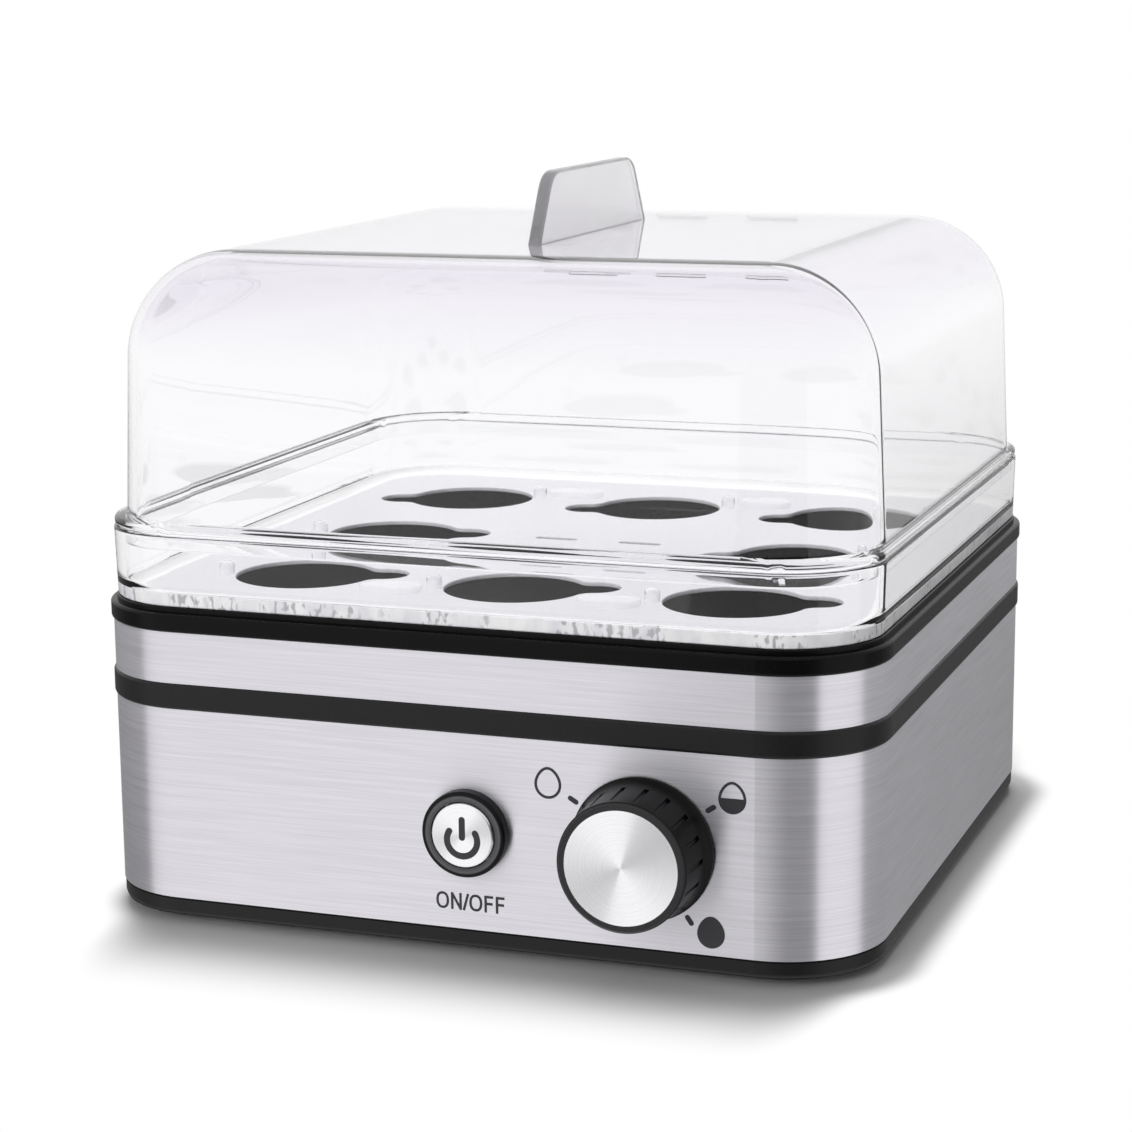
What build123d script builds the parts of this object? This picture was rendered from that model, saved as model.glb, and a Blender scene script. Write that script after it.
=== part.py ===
# Electric egg cooker: a square steel-wrapped base with a knob and a push button on its front,
# a clear egg tray for eight eggs and a clear domed lid. Millimetres, +Z up, the front faces -Y.
# The origin is on the table, under the middle of the whole object, knob and gland included.
import os
from math import cos, radians, sin

from build123d import *

os.makedirs("parts", exist_ok=True)

# Body outline, measured on the steel
body_width = 185.0
body_depth = 187.0
corner_radius = 23.6

# Heights of the stacked pieces, from the table up
foot_height = 2.0
base_rim_height = 4.2
lower_band_height = 44.9
middle_ring_height = 6.0
upper_band_height = 11.9
top_ring_height = 5.5

# Walls of the case
band_wall = 0.8
base_floor = 2.5
base_inset = 0.2
base_edge = 1.2
middle_proud = 0.45
top_proud = 0.55
top_band_height = 4.3
strip_inset = 1.0
strip_edge = 0.3
ring_edge = 0.8
reveal_height = 0.5
reveal_inset = 0.6
tongue_wall = 2.0
tongue_height = 4.0
base_tongue_height = 8.0
fit_gap = 0.15

# Case columns and their screws
column_inset = 15.5
column_radius = 4.5
boss_radius = 5.0
boss_height = 6.0
case_screw_radius = 1.35
case_screw_length = 16.0
screw_head_radius = 3.2
screw_head_height = 2.4
screw_sink = 3.0

# Feet
foot_radius = 7.0
foot_sink = 1.2
foot_edge = 0.8
foot_inset = 29.0

# Water pan and its seat in the top ring
pan_margin = 13.5
pan_corner = 28.0
pan_wall = 1.2
pan_depth = 20.0
pan_flange = 4.5
pan_bottom_fillet = 6.0
gasket_height = 1.0
pan_drop = 0.2
pan_side_gap = 0.5

# Heater
plate_radius = 58.0
plate_height = 4.0
element_radius = 3.2
element_loop = 45.0
element_gap_angle = 44.0
element_leg = 12.0
pin_radius = 1.2
pin_length = 7.0
plate_chamfer = 0.8
thermostat_radius = 8.0
thermostat_height = 9.0
thermostat_flange = 3.0
thermostat_sheet = 0.8
thermostat_edge = 1.0
spade_width = 6.3
spade_length = 7.0
fuse_radius = 2.2
fuse_length = 14.0
fuse_offset = 22.0
fuse_lead = 8.0
fuse_lead_radius = 0.5
clip_sheet = 0.8
clip_span = 16.0
clip_width = 8.0

# Egg tray
tray_foot_inset = 1.3
tray_rim_inset = 0.9
tray_wall = 2.0
tray_floor = 1.2
tray_height = 16.1
tray_floor_fillet = 4.0
seat_pitch = 53.0
seat_radius = 16.6
lobe_radius = 6.0
lobe_reach = 24.5
lobe_angle = 17.0
lobe_blend = 4.0
blend_tolerance = 0.01
peg_radius = 1.8
peg_height = 3.0
peg_edge = 0.4
pad_length = 15.0
pad_width = 9.0
pad_height = 1.4
pad_shift = 11.0
steam_slot_length = 11.0
steam_slot_width = 2.6
steam_pitch_x = 22.0
steam_pitch_y = 10.4
key_length = 40.0
key_depth = 4.0
key_gap = 0.6
key_wall = 2.0

# Lid
lid_inset = 2.2
lid_wall = 2.0
lid_height = 62.5
lid_draft = 0.042
lid_corner = 26.4
lid_top_fillet = 23.4
lip_depth = 3.5
lip_inset = 3.4
lip_wall = 1.5
bead_inset = 1.1
bead_height = 2.4
bead_edge = 1.0
vent_length = 14.0
vent_width = 2.4
vent_pitch = 25.0
vent_from_back = 16.2
lid_cut_depth = 6.0

# Lid handle
handle_length = 78.0
handle_top_length = 59.0
handle_height = 16.4
handle_thickness = 3.2
handle_corner = 7.5
handle_peg_radius = 2.0
handle_peg_spacing = 44.0
handle_edge = 0.8
stake_height = 1.2

# Front controls
control_rise = 22.6
control_spacing = 40.7
knob_from_side = 48.6
knob_reach = 15.2
knob_gap = 0.5
knob_base_radius = 16.2
knob_side_radius = 14.9
knob_rim_radius = 14.5
knob_flare = 4.0
knob_wall = 1.9
knob_hub_radius = 6.0
knob_cavity = 8.0
knob_cap_radius = 12.7
knob_cap_height = 0.9
knob_flutes = 18
flute_radius = 0.55
flute_stop = 1.8
shaft_radius = 3.0
shaft_flat = 1.5
shaft_grip = 8.5
running_gap = 0.05
rim_edge = 0.6
bush_proud = 1.0
bezel_radius = 9.8
bezel_proud = 3.0
bezel_tube_radius = 8.9
bezel_lip = 4.1
bezel_length = 6.0
button_radius = 7.3
button_proud = 3.4
button_gap = 0.3
button_flange = 0.7
button_flange_height = 1.4
button_stem_radius = 2.5
button_travel = 1.5
button_edge = 0.5
plunger_clear = 0.4

# Control board behind the front
carrier_wall = 2.5
carrier_border = 4.0
carrier_top_gap = 0.3
rail_width = 10.0
rail_height = 7.0
standoff_length = 9.0
standoff_radius = 3.0
board_wall = 1.6
board_width = 84.0
board_height = 30.0
board_corner = 1.5
board_hole_inset = 3.5
board_screw_radius = 0.95
board_screw_length = 7.0
board_head_radius = 2.1
board_head_height = 1.6
pot_size = 16.0
pot_height = 7.0
pot_bush_radius = 4.0
pot_back_wall = 1.5
pot_corner = 2.0
switch_size = 12.0
switch_height = 4.3
switch_corner = 1.0
plunger_radius = 1.75
plunger_length = 3.4
buzzer_radius = 6.0
buzzer_height = 6.5
buzzer_hole_radius = 1.2
buzzer_hole_depth = 2.2
chip_width = 10.0
chip_depth = 6.0
chip_height = 1.6

# Power board in the base
power_board_width = 76.0
power_board_depth = 54.0
power_board_x = -26.0
power_board_y = 30.0
post_height = 6.0
relay_width = 19.0
relay_depth = 15.5
relay_height = 15.5
relay_corner = 0.8
relay_x = -19.0
relay_y = -7.75
capacitor_width = 18.0
capacitor_depth = 8.0
capacitor_height = 14.0
capacitor_corner = 1.5
capacitor_x = 18.0
capacitor_y = -8.0
terminal_width = 28.0
terminal_depth = 12.0
terminal_height = 13.0
terminal_ways = 3
terminal_y = 12.0
way_radius = 1.85
way_depth = 6.0

# Cord gland at the rear
gland_x = -30.0
gland_rise = 16.0
gland_bore_radius = 3.6
gland_body_radius = 6.0
gland_flange_radius = 8.5
gland_flange_height = 2.5
gland_length = 8.0
gland_edge = 1.2

# Vents in the base
vent_slots = 6
base_vent_length = 34.0
base_vent_width = 3.0
base_vent_pitch = 8.0
base_vent_x = 26.0
base_vent_y = -15.0

# Levels that follow from the heights
base_bottom = foot_height
base_top = base_bottom + base_rim_height
lower_top = base_top + lower_band_height
middle_top = lower_top + middle_ring_height
upper_top = middle_top + upper_band_height
ring_top = upper_top + top_ring_height
floor_top = base_bottom + base_floor
boss_top = floor_top + boss_height
lid_seat = ring_top + tray_height
lid_top = lid_seat + lid_height

# Places that follow from the outline: the body stands back by half of what the knob adds at the front
centre_y = (knob_reach - gland_flange_height) / 2
panel_y = centre_y - body_depth / 2
rear_y = centre_y + body_depth / 2
control_z = base_top + control_rise
knob_x = body_width / 2 - knob_from_side
button_x = knob_x - control_spacing
band_cut = 2 * band_wall
tongue_outer = band_wall + fit_gap
tongue_inner = tongue_outer + tongue_wall
column_x = body_width / 2 - column_inset
column_y = body_depth / 2 - column_inset
upright_axis = Axis((0, centre_y, 0), (0, 0, 1))

# Depths behind the front panel, counted inwards from the steel's face
carrier_front = tongue_inner + fit_gap
carrier_back = carrier_front + carrier_wall
board_front = carrier_back + standoff_length
board_back = board_front + board_wall
board_x = (knob_x + button_x) / 2
carrier_top = lower_top - tongue_height - carrier_top_gap
board_hole_x = board_width - 2 * board_hole_inset
board_hole_z = board_height - 2 * board_hole_inset


def level(z):
    # A horizontal plane at the given height, centred on the body.
    return Plane(origin=(0, centre_y, z))


def side_plane(x):
    # An upright plane across the body: local x runs to the back and local y runs up.
    return Plane(origin=(x, centre_y, 0), x_dir=(0, 1, 0), z_dir=(1, 0, 0))


def outline(inset, mode=Mode.ADD):
    # The body's rounded square, drawn in by the inset on every side.
    width = body_width - 2 * inset
    depth = body_depth - 2 * inset
    return RectangleRounded(width, depth, corner_radius - inset, mode=mode)


def pan_outline(growth, mode=Mode.ADD):
    # The pan's mouth, grown by the given amount on every side.
    width = body_width - 2 * pan_margin + 2 * growth
    depth = body_depth - 2 * pan_margin + 2 * growth
    return RectangleRounded(width, depth, pan_corner + growth, mode=mode)


def lid_outline(inset, mode=Mode.ADD):
    # The dome's outline, drawn in from its outer face by the inset.
    width = body_width - 2 * (lid_inset + inset)
    depth = body_depth - 2 * (lid_inset + inset)
    return RectangleRounded(width, depth, lid_corner - inset, mode=mode)


def panel_plane(x, inward, z=control_z):
    # A plane along the front panel, set in behind the steel's face, that looks out of the front.
    return Plane(origin=(x, panel_y + inward, z), x_dir=(1, 0, 0), z_dir=(0, -1, 0))


def turning_plane(x):
    # A plane through a control's axis: local x is the radius, local y runs out of the front.
    return Plane(origin=(x, panel_y, control_z), x_dir=(1, 0, 0), z_dir=(0, 0, -1))


def control_axis(x):
    return Axis((x, panel_y, control_z), (0, -1, 0))


# Base tray: the black bottom with its rim, tongue, screw bosses, board posts and vents
with BuildPart() as base_tray:
    with BuildSketch(level(base_bottom)):
        outline(base_inset)
    extrude(amount=base_rim_height - reveal_height)
    fillet(base_tray.edges().group_by(Axis.Z)[0], radius=base_edge)
    with BuildSketch(level(base_bottom)):
        outline(reveal_inset)
    extrude(amount=base_rim_height)
    with BuildSketch(level(base_top)):
        outline(tongue_outer)
    extrude(amount=base_tongue_height)
    with BuildSketch(level(floor_top)):
        outline(tongue_inner)
    extrude(amount=base_rim_height - base_floor + base_tongue_height, mode=Mode.SUBTRACT)
    with BuildSketch(level(floor_top)):
        with GridLocations(2 * column_x, 2 * column_y, 2, 2):
            Circle(boss_radius)
    extrude(amount=boss_height)
    with BuildSketch(level(floor_top)):
        with Locations((power_board_x, power_board_y)):
            with GridLocations(
                power_board_width - 2 * board_hole_inset, power_board_depth - 2 * board_hole_inset, 2, 2
            ):
                Circle(standoff_radius)
                Circle(board_screw_radius + running_gap, mode=Mode.SUBTRACT)
    extrude(amount=post_height)
    with BuildSketch(panel_plane(board_x, carrier_back + fit_gap, floor_top)):
        with GridLocations(board_width / 2, 1, 2, 1):
            Rectangle(rail_width, rail_height, align=(Align.CENTER, Align.MIN))
    extrude(amount=-tongue_wall)
    with BuildSketch(level(base_bottom)):
        with GridLocations(2 * column_x, 2 * column_y, 2, 2):
            Circle(case_screw_radius + fit_gap)
    extrude(amount=base_floor + boss_height, mode=Mode.SUBTRACT)
    with BuildSketch(level(base_bottom)):
        with GridLocations(2 * column_x, 2 * column_y, 2, 2):
            Circle(screw_head_radius + fit_gap)
    extrude(amount=screw_sink, mode=Mode.SUBTRACT)
    with BuildSketch(level(base_bottom)):
        with GridLocations(body_width - 2 * foot_inset, body_depth - 2 * foot_inset, 2, 2):
            Circle(foot_radius + fit_gap)
    extrude(amount=foot_sink, mode=Mode.SUBTRACT)
    with BuildSketch(level(base_bottom)):
        with Locations((base_vent_x, base_vent_y)):
            with GridLocations(base_vent_length, base_vent_pitch, 1, vent_slots):
                SlotOverall(base_vent_length, base_vent_width)
    extrude(amount=base_floor, mode=Mode.SUBTRACT)
base_tray.part.label = "base_tray"
export_step(base_tray.part, "parts/base_tray.step")


# Rubber feet, set in round sinks under the base
with BuildPart() as rubber_feet:
    with BuildSketch(level(0)):
        with GridLocations(body_width - 2 * foot_inset, body_depth - 2 * foot_inset, 2, 2):
            Circle(foot_radius)
    extrude(amount=foot_height + foot_sink)
    chamfer(rubber_feet.edges().group_by(Axis.Z)[0], length=foot_edge)
rubber_feet.part.label = "rubber_feet"
export_step(rubber_feet.part, "parts/rubber_feet.step")


# Lower steel band, pierced for the knob's bush, the button's collar and the cord gland
with BuildPart() as lower_band:
    with BuildSketch(level(base_top)):
        outline(0)
        outline(band_wall, mode=Mode.SUBTRACT)
    extrude(amount=lower_band_height)
    with BuildSketch(panel_plane(0, 0)):
        with Locations((knob_x, 0)):
            Circle(pot_bush_radius + button_gap)
        with Locations((button_x, 0)):
            Circle(bezel_tube_radius + fit_gap)
    extrude(amount=-band_cut, mode=Mode.SUBTRACT)
    with BuildSketch(Plane(origin=(gland_x, rear_y, base_top + gland_rise), z_dir=(0, 1, 0))):
        Circle(gland_body_radius + fit_gap)
    extrude(amount=-band_cut, mode=Mode.SUBTRACT)
lower_band.part.label = "lower_band"
export_step(lower_band.part, "parts/lower_band.step")


# Middle ring with a tongue up and a tongue down inside the two bands
with BuildPart() as middle_ring:
    with BuildSketch(level(lower_top)):
        outline(-middle_proud)
    extrude(amount=middle_ring_height)
    fillet(middle_ring.edges().filter_by(Axis.Z, reverse=True), radius=ring_edge)
    with BuildSketch(level(lower_top - tongue_height)):
        outline(tongue_outer)
    extrude(amount=middle_ring_height + 2 * tongue_height)
    with BuildSketch(level(lower_top - tongue_height)):
        outline(tongue_inner)
    extrude(amount=middle_ring_height + 2 * tongue_height, mode=Mode.SUBTRACT)
middle_ring.part.label = "middle_ring"
export_step(middle_ring.part, "parts/middle_ring.step")


# Upper steel band
with BuildPart() as upper_band:
    with BuildSketch(level(middle_top)):
        outline(0)
        outline(band_wall, mode=Mode.SUBTRACT)
    extrude(amount=upper_band_height)
upper_band.part.label = "upper_band"
export_step(upper_band.part, "parts/upper_band.step")


# Top ring: a proud band with a lower strip set back on it, that carries the tray on its top face
# and the pan in a sunk ledge, and four long case columns below
ledge_depth = gasket_height + pan_wall + pan_drop
with BuildPart() as top_ring:
    with BuildSketch(level(upper_top)):
        outline(-top_proud)
    extrude(amount=top_band_height)
    fillet(top_ring.edges().filter_by(Axis.Z, reverse=True), radius=ring_edge)
    with BuildSketch(level(upper_top)):
        outline(strip_inset)
    extrude(amount=top_ring_height)
    fillet(top_ring.edges().group_by(Axis.Z)[-1], radius=strip_edge)
    with BuildSketch(level(upper_top)):
        outline(tongue_outer)
    extrude(amount=-tongue_height)
    with BuildSketch(level(upper_top)):
        outline(tongue_inner)
    extrude(amount=-tongue_height, mode=Mode.SUBTRACT)
    with BuildSketch(level(upper_top)):
        pan_outline(pan_wall + pan_side_gap)
    extrude(amount=top_ring_height, mode=Mode.SUBTRACT)
    with BuildSketch(level(ring_top)):
        pan_outline(pan_wall + pan_flange + fit_gap)
    extrude(amount=-ledge_depth, mode=Mode.SUBTRACT)
    with BuildSketch(level(boss_top)):
        with GridLocations(2 * column_x, 2 * column_y, 2, 2):
            Circle(column_radius)
    extrude(amount=upper_top - boss_top)
    with BuildSketch(level(boss_top)):
        with GridLocations(2 * column_x, 2 * column_y, 2, 2):
            Circle(case_screw_radius + running_gap)
    extrude(amount=case_screw_length, mode=Mode.SUBTRACT)
top_ring.part.label = "top_ring"
export_step(top_ring.part, "parts/top_ring.step")


# Gasket between the ledge and the pan's flange
gasket_bottom = ring_top - ledge_depth
with BuildPart() as pan_gasket:
    with BuildSketch(level(gasket_bottom)):
        pan_outline(pan_wall + pan_flange)
        pan_outline(pan_wall + pan_side_gap, mode=Mode.SUBTRACT)
    extrude(amount=gasket_height)
pan_gasket.part.label = "pan_gasket"
export_step(pan_gasket.part, "parts/pan_gasket.step")


# Water pan: a pressed pan with a rounded foot and a flange round its mouth
pan_top = ring_top - pan_drop
pan_bottom = pan_top - pan_depth - pan_wall
with BuildPart() as water_pan:
    with BuildSketch(level(pan_bottom)):
        pan_outline(pan_wall)
    extrude(amount=pan_depth + pan_wall)
    fillet(water_pan.edges().group_by(Axis.Z)[0], radius=pan_bottom_fillet + pan_wall)
    offset(openings=water_pan.faces().sort_by(Axis.Z)[-1], amount=-pan_wall)
    with BuildSketch(level(pan_top)):
        pan_outline(pan_wall + pan_flange)
        pan_outline(0, mode=Mode.SUBTRACT)
    extrude(amount=-pan_wall)
water_pan.part.label = "water_pan"
export_step(water_pan.part, "parts/water_pan.step")


# Heater plate under the pan, grooved for the element
plate_bottom = pan_bottom - plate_height
with BuildPart() as heater_plate:
    with BuildSketch(level(plate_bottom)):
        Circle(plate_radius)
    extrude(amount=plate_height)
    chamfer(heater_plate.edges().group_by(Axis.Z)[0], length=plate_chamfer)
    with BuildSketch(side_plane(0)):
        with Locations((element_loop, plate_bottom)):
            Circle(element_radius + running_gap)
    revolve(axis=upright_axis, mode=Mode.SUBTRACT)
heater_plate.part.label = "heater_plate"
export_step(heater_plate.part, "parts/heater_plate.step")


# Sheathed element: an open loop in the groove, with a leg and a terminal pin down from each end
element_start = 90 + element_gap_angle / 2
element_ends = [element_start, element_start - element_gap_angle]
start_x = cos(radians(element_start))
start_y = sin(radians(element_start))
loop_plane = Plane(origin=(0, centre_y, 0), x_dir=(start_x, start_y, 0), z_dir=(start_y, -start_x, 0))
with BuildPart() as heating_element:
    with BuildSketch(loop_plane):
        with Locations((element_loop, plate_bottom)):
            Circle(element_radius)
    revolve(axis=upright_axis, revolution_arc=360 - element_gap_angle)
    for angle in element_ends:
        end_x = element_loop * cos(radians(angle))
        end_y = centre_y + element_loop * sin(radians(angle))
        with Locations((end_x, end_y, plate_bottom)):
            Sphere(element_radius)
            Cylinder(element_radius, element_leg, align=(Align.CENTER, Align.CENTER, Align.MAX))
            Cylinder(pin_radius, element_leg + pin_length, align=(Align.CENTER, Align.CENTER, Align.MAX))
heating_element.part.label = "heating_element"
export_step(heating_element.part, "parts/heating_element.step")


# Snap-disc thermostat in the middle of the plate
with BuildPart() as thermostat:
    with BuildSketch(level(plate_bottom)):
        Circle(thermostat_radius + thermostat_flange)
    extrude(amount=-thermostat_sheet)
    with BuildSketch(level(plate_bottom)):
        Circle(thermostat_radius)
    extrude(amount=-thermostat_height)
    fillet(thermostat.edges().group_by(Axis.Z)[0], radius=thermostat_edge)
    with BuildSketch(level(plate_bottom - thermostat_height)):
        with GridLocations(thermostat_radius, 1, 2, 1):
            Rectangle(thermostat_sheet, spade_width)
    extrude(amount=-spade_length)
thermostat.part.label = "thermostat"
export_step(thermostat.part, "parts/thermostat.step")


# Thermal fuse, lying along X against the plate, and the clip round it
fuse_z = plate_bottom - fuse_radius - running_gap
with BuildPart() as thermal_fuse:
    with BuildSketch(side_plane(0)):
        with Locations((fuse_offset, fuse_z)):
            Circle(fuse_radius)
    extrude(amount=fuse_length / 2, both=True)
    with BuildSketch(side_plane(0)):
        with Locations((fuse_offset, fuse_z)):
            Circle(fuse_lead_radius)
    extrude(amount=fuse_length / 2 + fuse_lead, both=True)
thermal_fuse.part.label = "thermal_fuse"
export_step(thermal_fuse.part, "parts/thermal_fuse.step")

with BuildPart() as fuse_clip:
    with BuildSketch(side_plane(0)):
        with Locations((fuse_offset, fuse_z)):
            Circle(fuse_radius + running_gap + clip_sheet)
        with Locations((fuse_offset, plate_bottom)):
            Rectangle(clip_span, clip_sheet, align=(Align.CENTER, Align.MAX))
        with Locations((fuse_offset, fuse_z)):
            Circle(fuse_radius + running_gap, mode=Mode.SUBTRACT)
        with Locations((fuse_offset, plate_bottom)):
            Rectangle(2 * fuse_radius, fuse_radius, align=(Align.CENTER, Align.MAX), mode=Mode.SUBTRACT)
            Rectangle(clip_span, fuse_radius, align=(Align.CENTER, Align.MIN), mode=Mode.SUBTRACT)
    extrude(amount=clip_width / 2, both=True)
fuse_clip.part.label = "fuse_clip"
export_step(fuse_clip.part, "parts/fuse_clip.step")


# Egg seat outline: a round seat with one rounded lobe, the inside corners blended
lobe_centre = lobe_reach - lobe_radius
with BuildSketch() as egg_seat:
    Circle(seat_radius)
    with Locations((lobe_centre / 2, 0)):
        SlotCenterToCenter(lobe_centre, 2 * lobe_radius)
    corners = [v for v in egg_seat.vertices() if abs((v.X**2 + v.Y**2) ** 0.5 - seat_radius) < blend_tolerance]
    fillet(corners, radius=lobe_blend)

# Three seats at the front and back and two between them; the lobes turn round behind the middle
egg_places = []
for row in (-1, 0, 1):
    for column in (-1, 0, 1):
        if row == 0 and column == 0:
            continue
        lobes_back = row > 0 or (row == 0 and column > 0)
        turn = lobe_angle + (180 if lobes_back else 0)
        egg_places.append((column * seat_pitch, row * seat_pitch, turn))

# Egg tray: drafted wall, flat floor with the seats, pegs, pads and steam slots, and four keys below
tray_floor_top = ring_top + tray_floor
peg_circle = seat_radius + peg_radius + peg_edge
with BuildPart() as egg_tray:
    with BuildSketch(level(ring_top)):
        outline(tray_foot_inset)
    with BuildSketch(level(lid_seat)):
        outline(tray_rim_inset)
    loft(ruled=True)
    with BuildSketch(level(tray_floor_top)):
        outline(tray_foot_inset + tray_wall)
    with BuildSketch(level(lid_seat)):
        outline(tray_rim_inset + tray_wall)
    loft(ruled=True, mode=Mode.SUBTRACT)
    fillet(egg_tray.edges().group_by(Axis.Z)[1], radius=tray_floor_fillet)
    with BuildSketch(level(tray_floor_top)):
        for x, y, turn in egg_places:
            with Locations((x, y)):
                with PolarLocations(peg_circle, 1, start_angle=turn + 180):
                    Circle(peg_radius)
    extrude(amount=peg_height)
    with BuildSketch(level(tray_floor_top)):
        with GridLocations(seat_pitch, 2 * (seat_pitch + pad_shift), 2, 2):
            SlotOverall(pad_length, pad_width)
    extrude(amount=pad_height)
    with BuildSketch(level(ring_top)):
        with GridLocations(body_width - 2 * (pan_margin + key_gap) - key_wall, 1, 2, 1):
            Rectangle(key_wall, key_length)
        with GridLocations(1, body_depth - 2 * (pan_margin + key_gap) - key_wall, 1, 2):
            Rectangle(key_length, key_wall)
    extrude(amount=-key_depth)
    with BuildSketch(level(tray_floor_top)):
        for x, y, turn in egg_places:
            with Locations(Location((x, y, 0), (0, 0, turn))):
                add(egg_seat.sketch)
        with GridLocations(steam_pitch_x, steam_pitch_y, 2, 2):
            SlotOverall(steam_slot_length, steam_slot_width)
    extrude(amount=-tray_floor, mode=Mode.SUBTRACT)
egg_tray.part.label = "egg_tray"
export_step(egg_tray.part, "parts/egg_tray.step")


# Inside of the lid's dome, which leans in with the same draft as the outside
hollow_height = lid_height - lid_wall
with BuildPart(mode=Mode.PRIVATE) as lid_hollow:
    with BuildSketch(level(lid_seat)):
        lid_outline(lid_wall)
    with BuildSketch(level(lid_seat + hollow_height)):
        lid_outline(lid_wall + lid_draft * hollow_height)
    loft(ruled=True)
    fillet(lid_hollow.edges().group_by(Axis.Z)[-1], radius=lid_top_fillet - lid_wall)

# Lid: a dome with a bead that rests on the tray's rim, a lip inside that, and steam slots at the back
vent_y = body_depth / 2 - lid_inset - vent_from_back
with BuildPart() as lid:
    with BuildSketch(level(lid_seat)):
        outline(bead_inset)
    extrude(amount=bead_height)
    fillet(lid.edges().filter_by(Axis.Z, reverse=True), radius=bead_edge)
    with BuildSketch(level(lid_seat)):
        lid_outline(0)
    with BuildSketch(level(lid_top)):
        lid_outline(lid_draft * lid_height)
    loft(ruled=True)
    fillet(lid.edges().group_by(Axis.Z)[-1], radius=lid_top_fillet)
    add(lid_hollow.part, mode=Mode.SUBTRACT)
    with BuildSketch(level(lid_seat - lip_depth)):
        outline(lip_inset)
        outline(lip_inset + lip_wall, mode=Mode.SUBTRACT)
    extrude(amount=lip_depth + bead_height)
    with BuildSketch(level(lid_top)):
        with Locations((0, vent_y)):
            with GridLocations(vent_pitch, 1, 3, 1):
                SlotOverall(vent_length, vent_width)
        with GridLocations(1, handle_peg_spacing, 1, 2):
            Circle(handle_peg_radius + fit_gap)
    extrude(amount=-lid_cut_depth, mode=Mode.SUBTRACT)
lid.part.label = "lid"
export_step(lid.part, "parts/lid.step")


# Lid handle: a thin upright plate with rounded shoulders, staked through the lid by two pegs
with BuildPart() as lid_handle:
    with BuildSketch(side_plane(0)) as handle_face:
        with BuildLine():
            Polyline(
                (-handle_length / 2, lid_top),
                (handle_length / 2, lid_top),
                (handle_top_length / 2, lid_top + handle_height),
                (-handle_top_length / 2, lid_top + handle_height),
                close=True,
            )
        make_face()
        fillet(handle_face.vertices().group_by(Axis.Y)[-1], radius=handle_corner)
    extrude(amount=handle_thickness / 2, both=True)
    side_edges = lid_handle.faces().filter_by(Axis.X).edges().sort_by(Axis.Z)
    fillet(side_edges[2:], radius=handle_edge)
    with BuildSketch(level(lid_top)):
        with GridLocations(1, handle_peg_spacing, 1, 2):
            Circle(handle_peg_radius)
    extrude(amount=-lid_wall - stake_height)
    with BuildSketch(level(lid_top - lid_wall)):
        with GridLocations(1, handle_peg_spacing, 1, 2):
            Circle(handle_peg_radius + stake_height)
    extrude(amount=-stake_height)
lid_handle.part.label = "lid_handle"
export_step(lid_handle.part, "parts/lid_handle.step")


# Panel carrier: stands on the base behind the front and holds the control board on four posts
with BuildPart() as panel_carrier:
    with BuildSketch(panel_plane(board_x, carrier_front, floor_top)):
        Rectangle(board_width + 2 * carrier_border, carrier_top - floor_top, align=(Align.CENTER, Align.MIN))
    extrude(amount=-carrier_wall)
    with BuildSketch(panel_plane(board_x, carrier_back)):
        with GridLocations(board_hole_x, board_hole_z, 2, 2):
            Circle(standoff_radius)
            Circle(board_screw_radius + running_gap, mode=Mode.SUBTRACT)
    extrude(amount=-standoff_length)
    with BuildSketch(panel_plane(0, carrier_front)):
        with Locations((knob_x, 0)):
            Circle(pot_bush_radius + button_gap)
        with Locations((button_x, 0)):
            Circle(bezel_tube_radius + fit_gap)
    extrude(amount=-carrier_wall, mode=Mode.SUBTRACT)
panel_carrier.part.label = "panel_carrier"
export_step(panel_carrier.part, "parts/panel_carrier.step")


# Control board
with BuildPart() as control_board:
    with BuildSketch(panel_plane(board_x, board_front)):
        RectangleRounded(board_width, board_height, board_corner)
        with GridLocations(board_hole_x, board_hole_z, 2, 2):
            Circle(board_screw_radius + fit_gap, mode=Mode.SUBTRACT)
    extrude(amount=-board_wall)
control_board.part.label = "control_board"
export_step(control_board.part, "parts/control_board.step")


# Potentiometer behind the knob: a square body and a bush through the carrier and the steel
with BuildPart() as potentiometer:
    with BuildSketch(panel_plane(knob_x, board_front)):
        RectangleRounded(pot_size, pot_size, pot_corner)
    extrude(amount=pot_height)
    with BuildSketch(panel_plane(knob_x, board_front)):
        Circle(pot_bush_radius)
    extrude(amount=board_front + bush_proud)
    with BuildSketch(panel_plane(knob_x, -bush_proud)):
        Circle(shaft_radius + running_gap)
    extrude(amount=-(board_front + bush_proud - pot_back_wall), mode=Mode.SUBTRACT)
potentiometer.part.label = "potentiometer"
export_step(potentiometer.part, "parts/potentiometer.step")


# Knob shaft: round in the bush, with a flat where the knob grips it
hub_start = bush_proud + knob_gap
shaft_inner = board_front - pot_back_wall - knob_gap
with BuildPart() as knob_shaft:
    with BuildSketch(panel_plane(knob_x, shaft_inner)):
        Circle(shaft_radius)
    extrude(amount=shaft_inner + hub_start + shaft_grip)
    with BuildSketch(panel_plane(knob_x, -hub_start)):
        with Locations((0, shaft_radius - shaft_flat)):
            Rectangle(2 * shaft_radius, shaft_radius, align=(Align.CENTER, Align.MIN))
    extrude(amount=shaft_grip, mode=Mode.SUBTRACT)
knob_shaft.part.label = "knob_shaft"
export_step(knob_shaft.part, "parts/knob_shaft.step")


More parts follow.
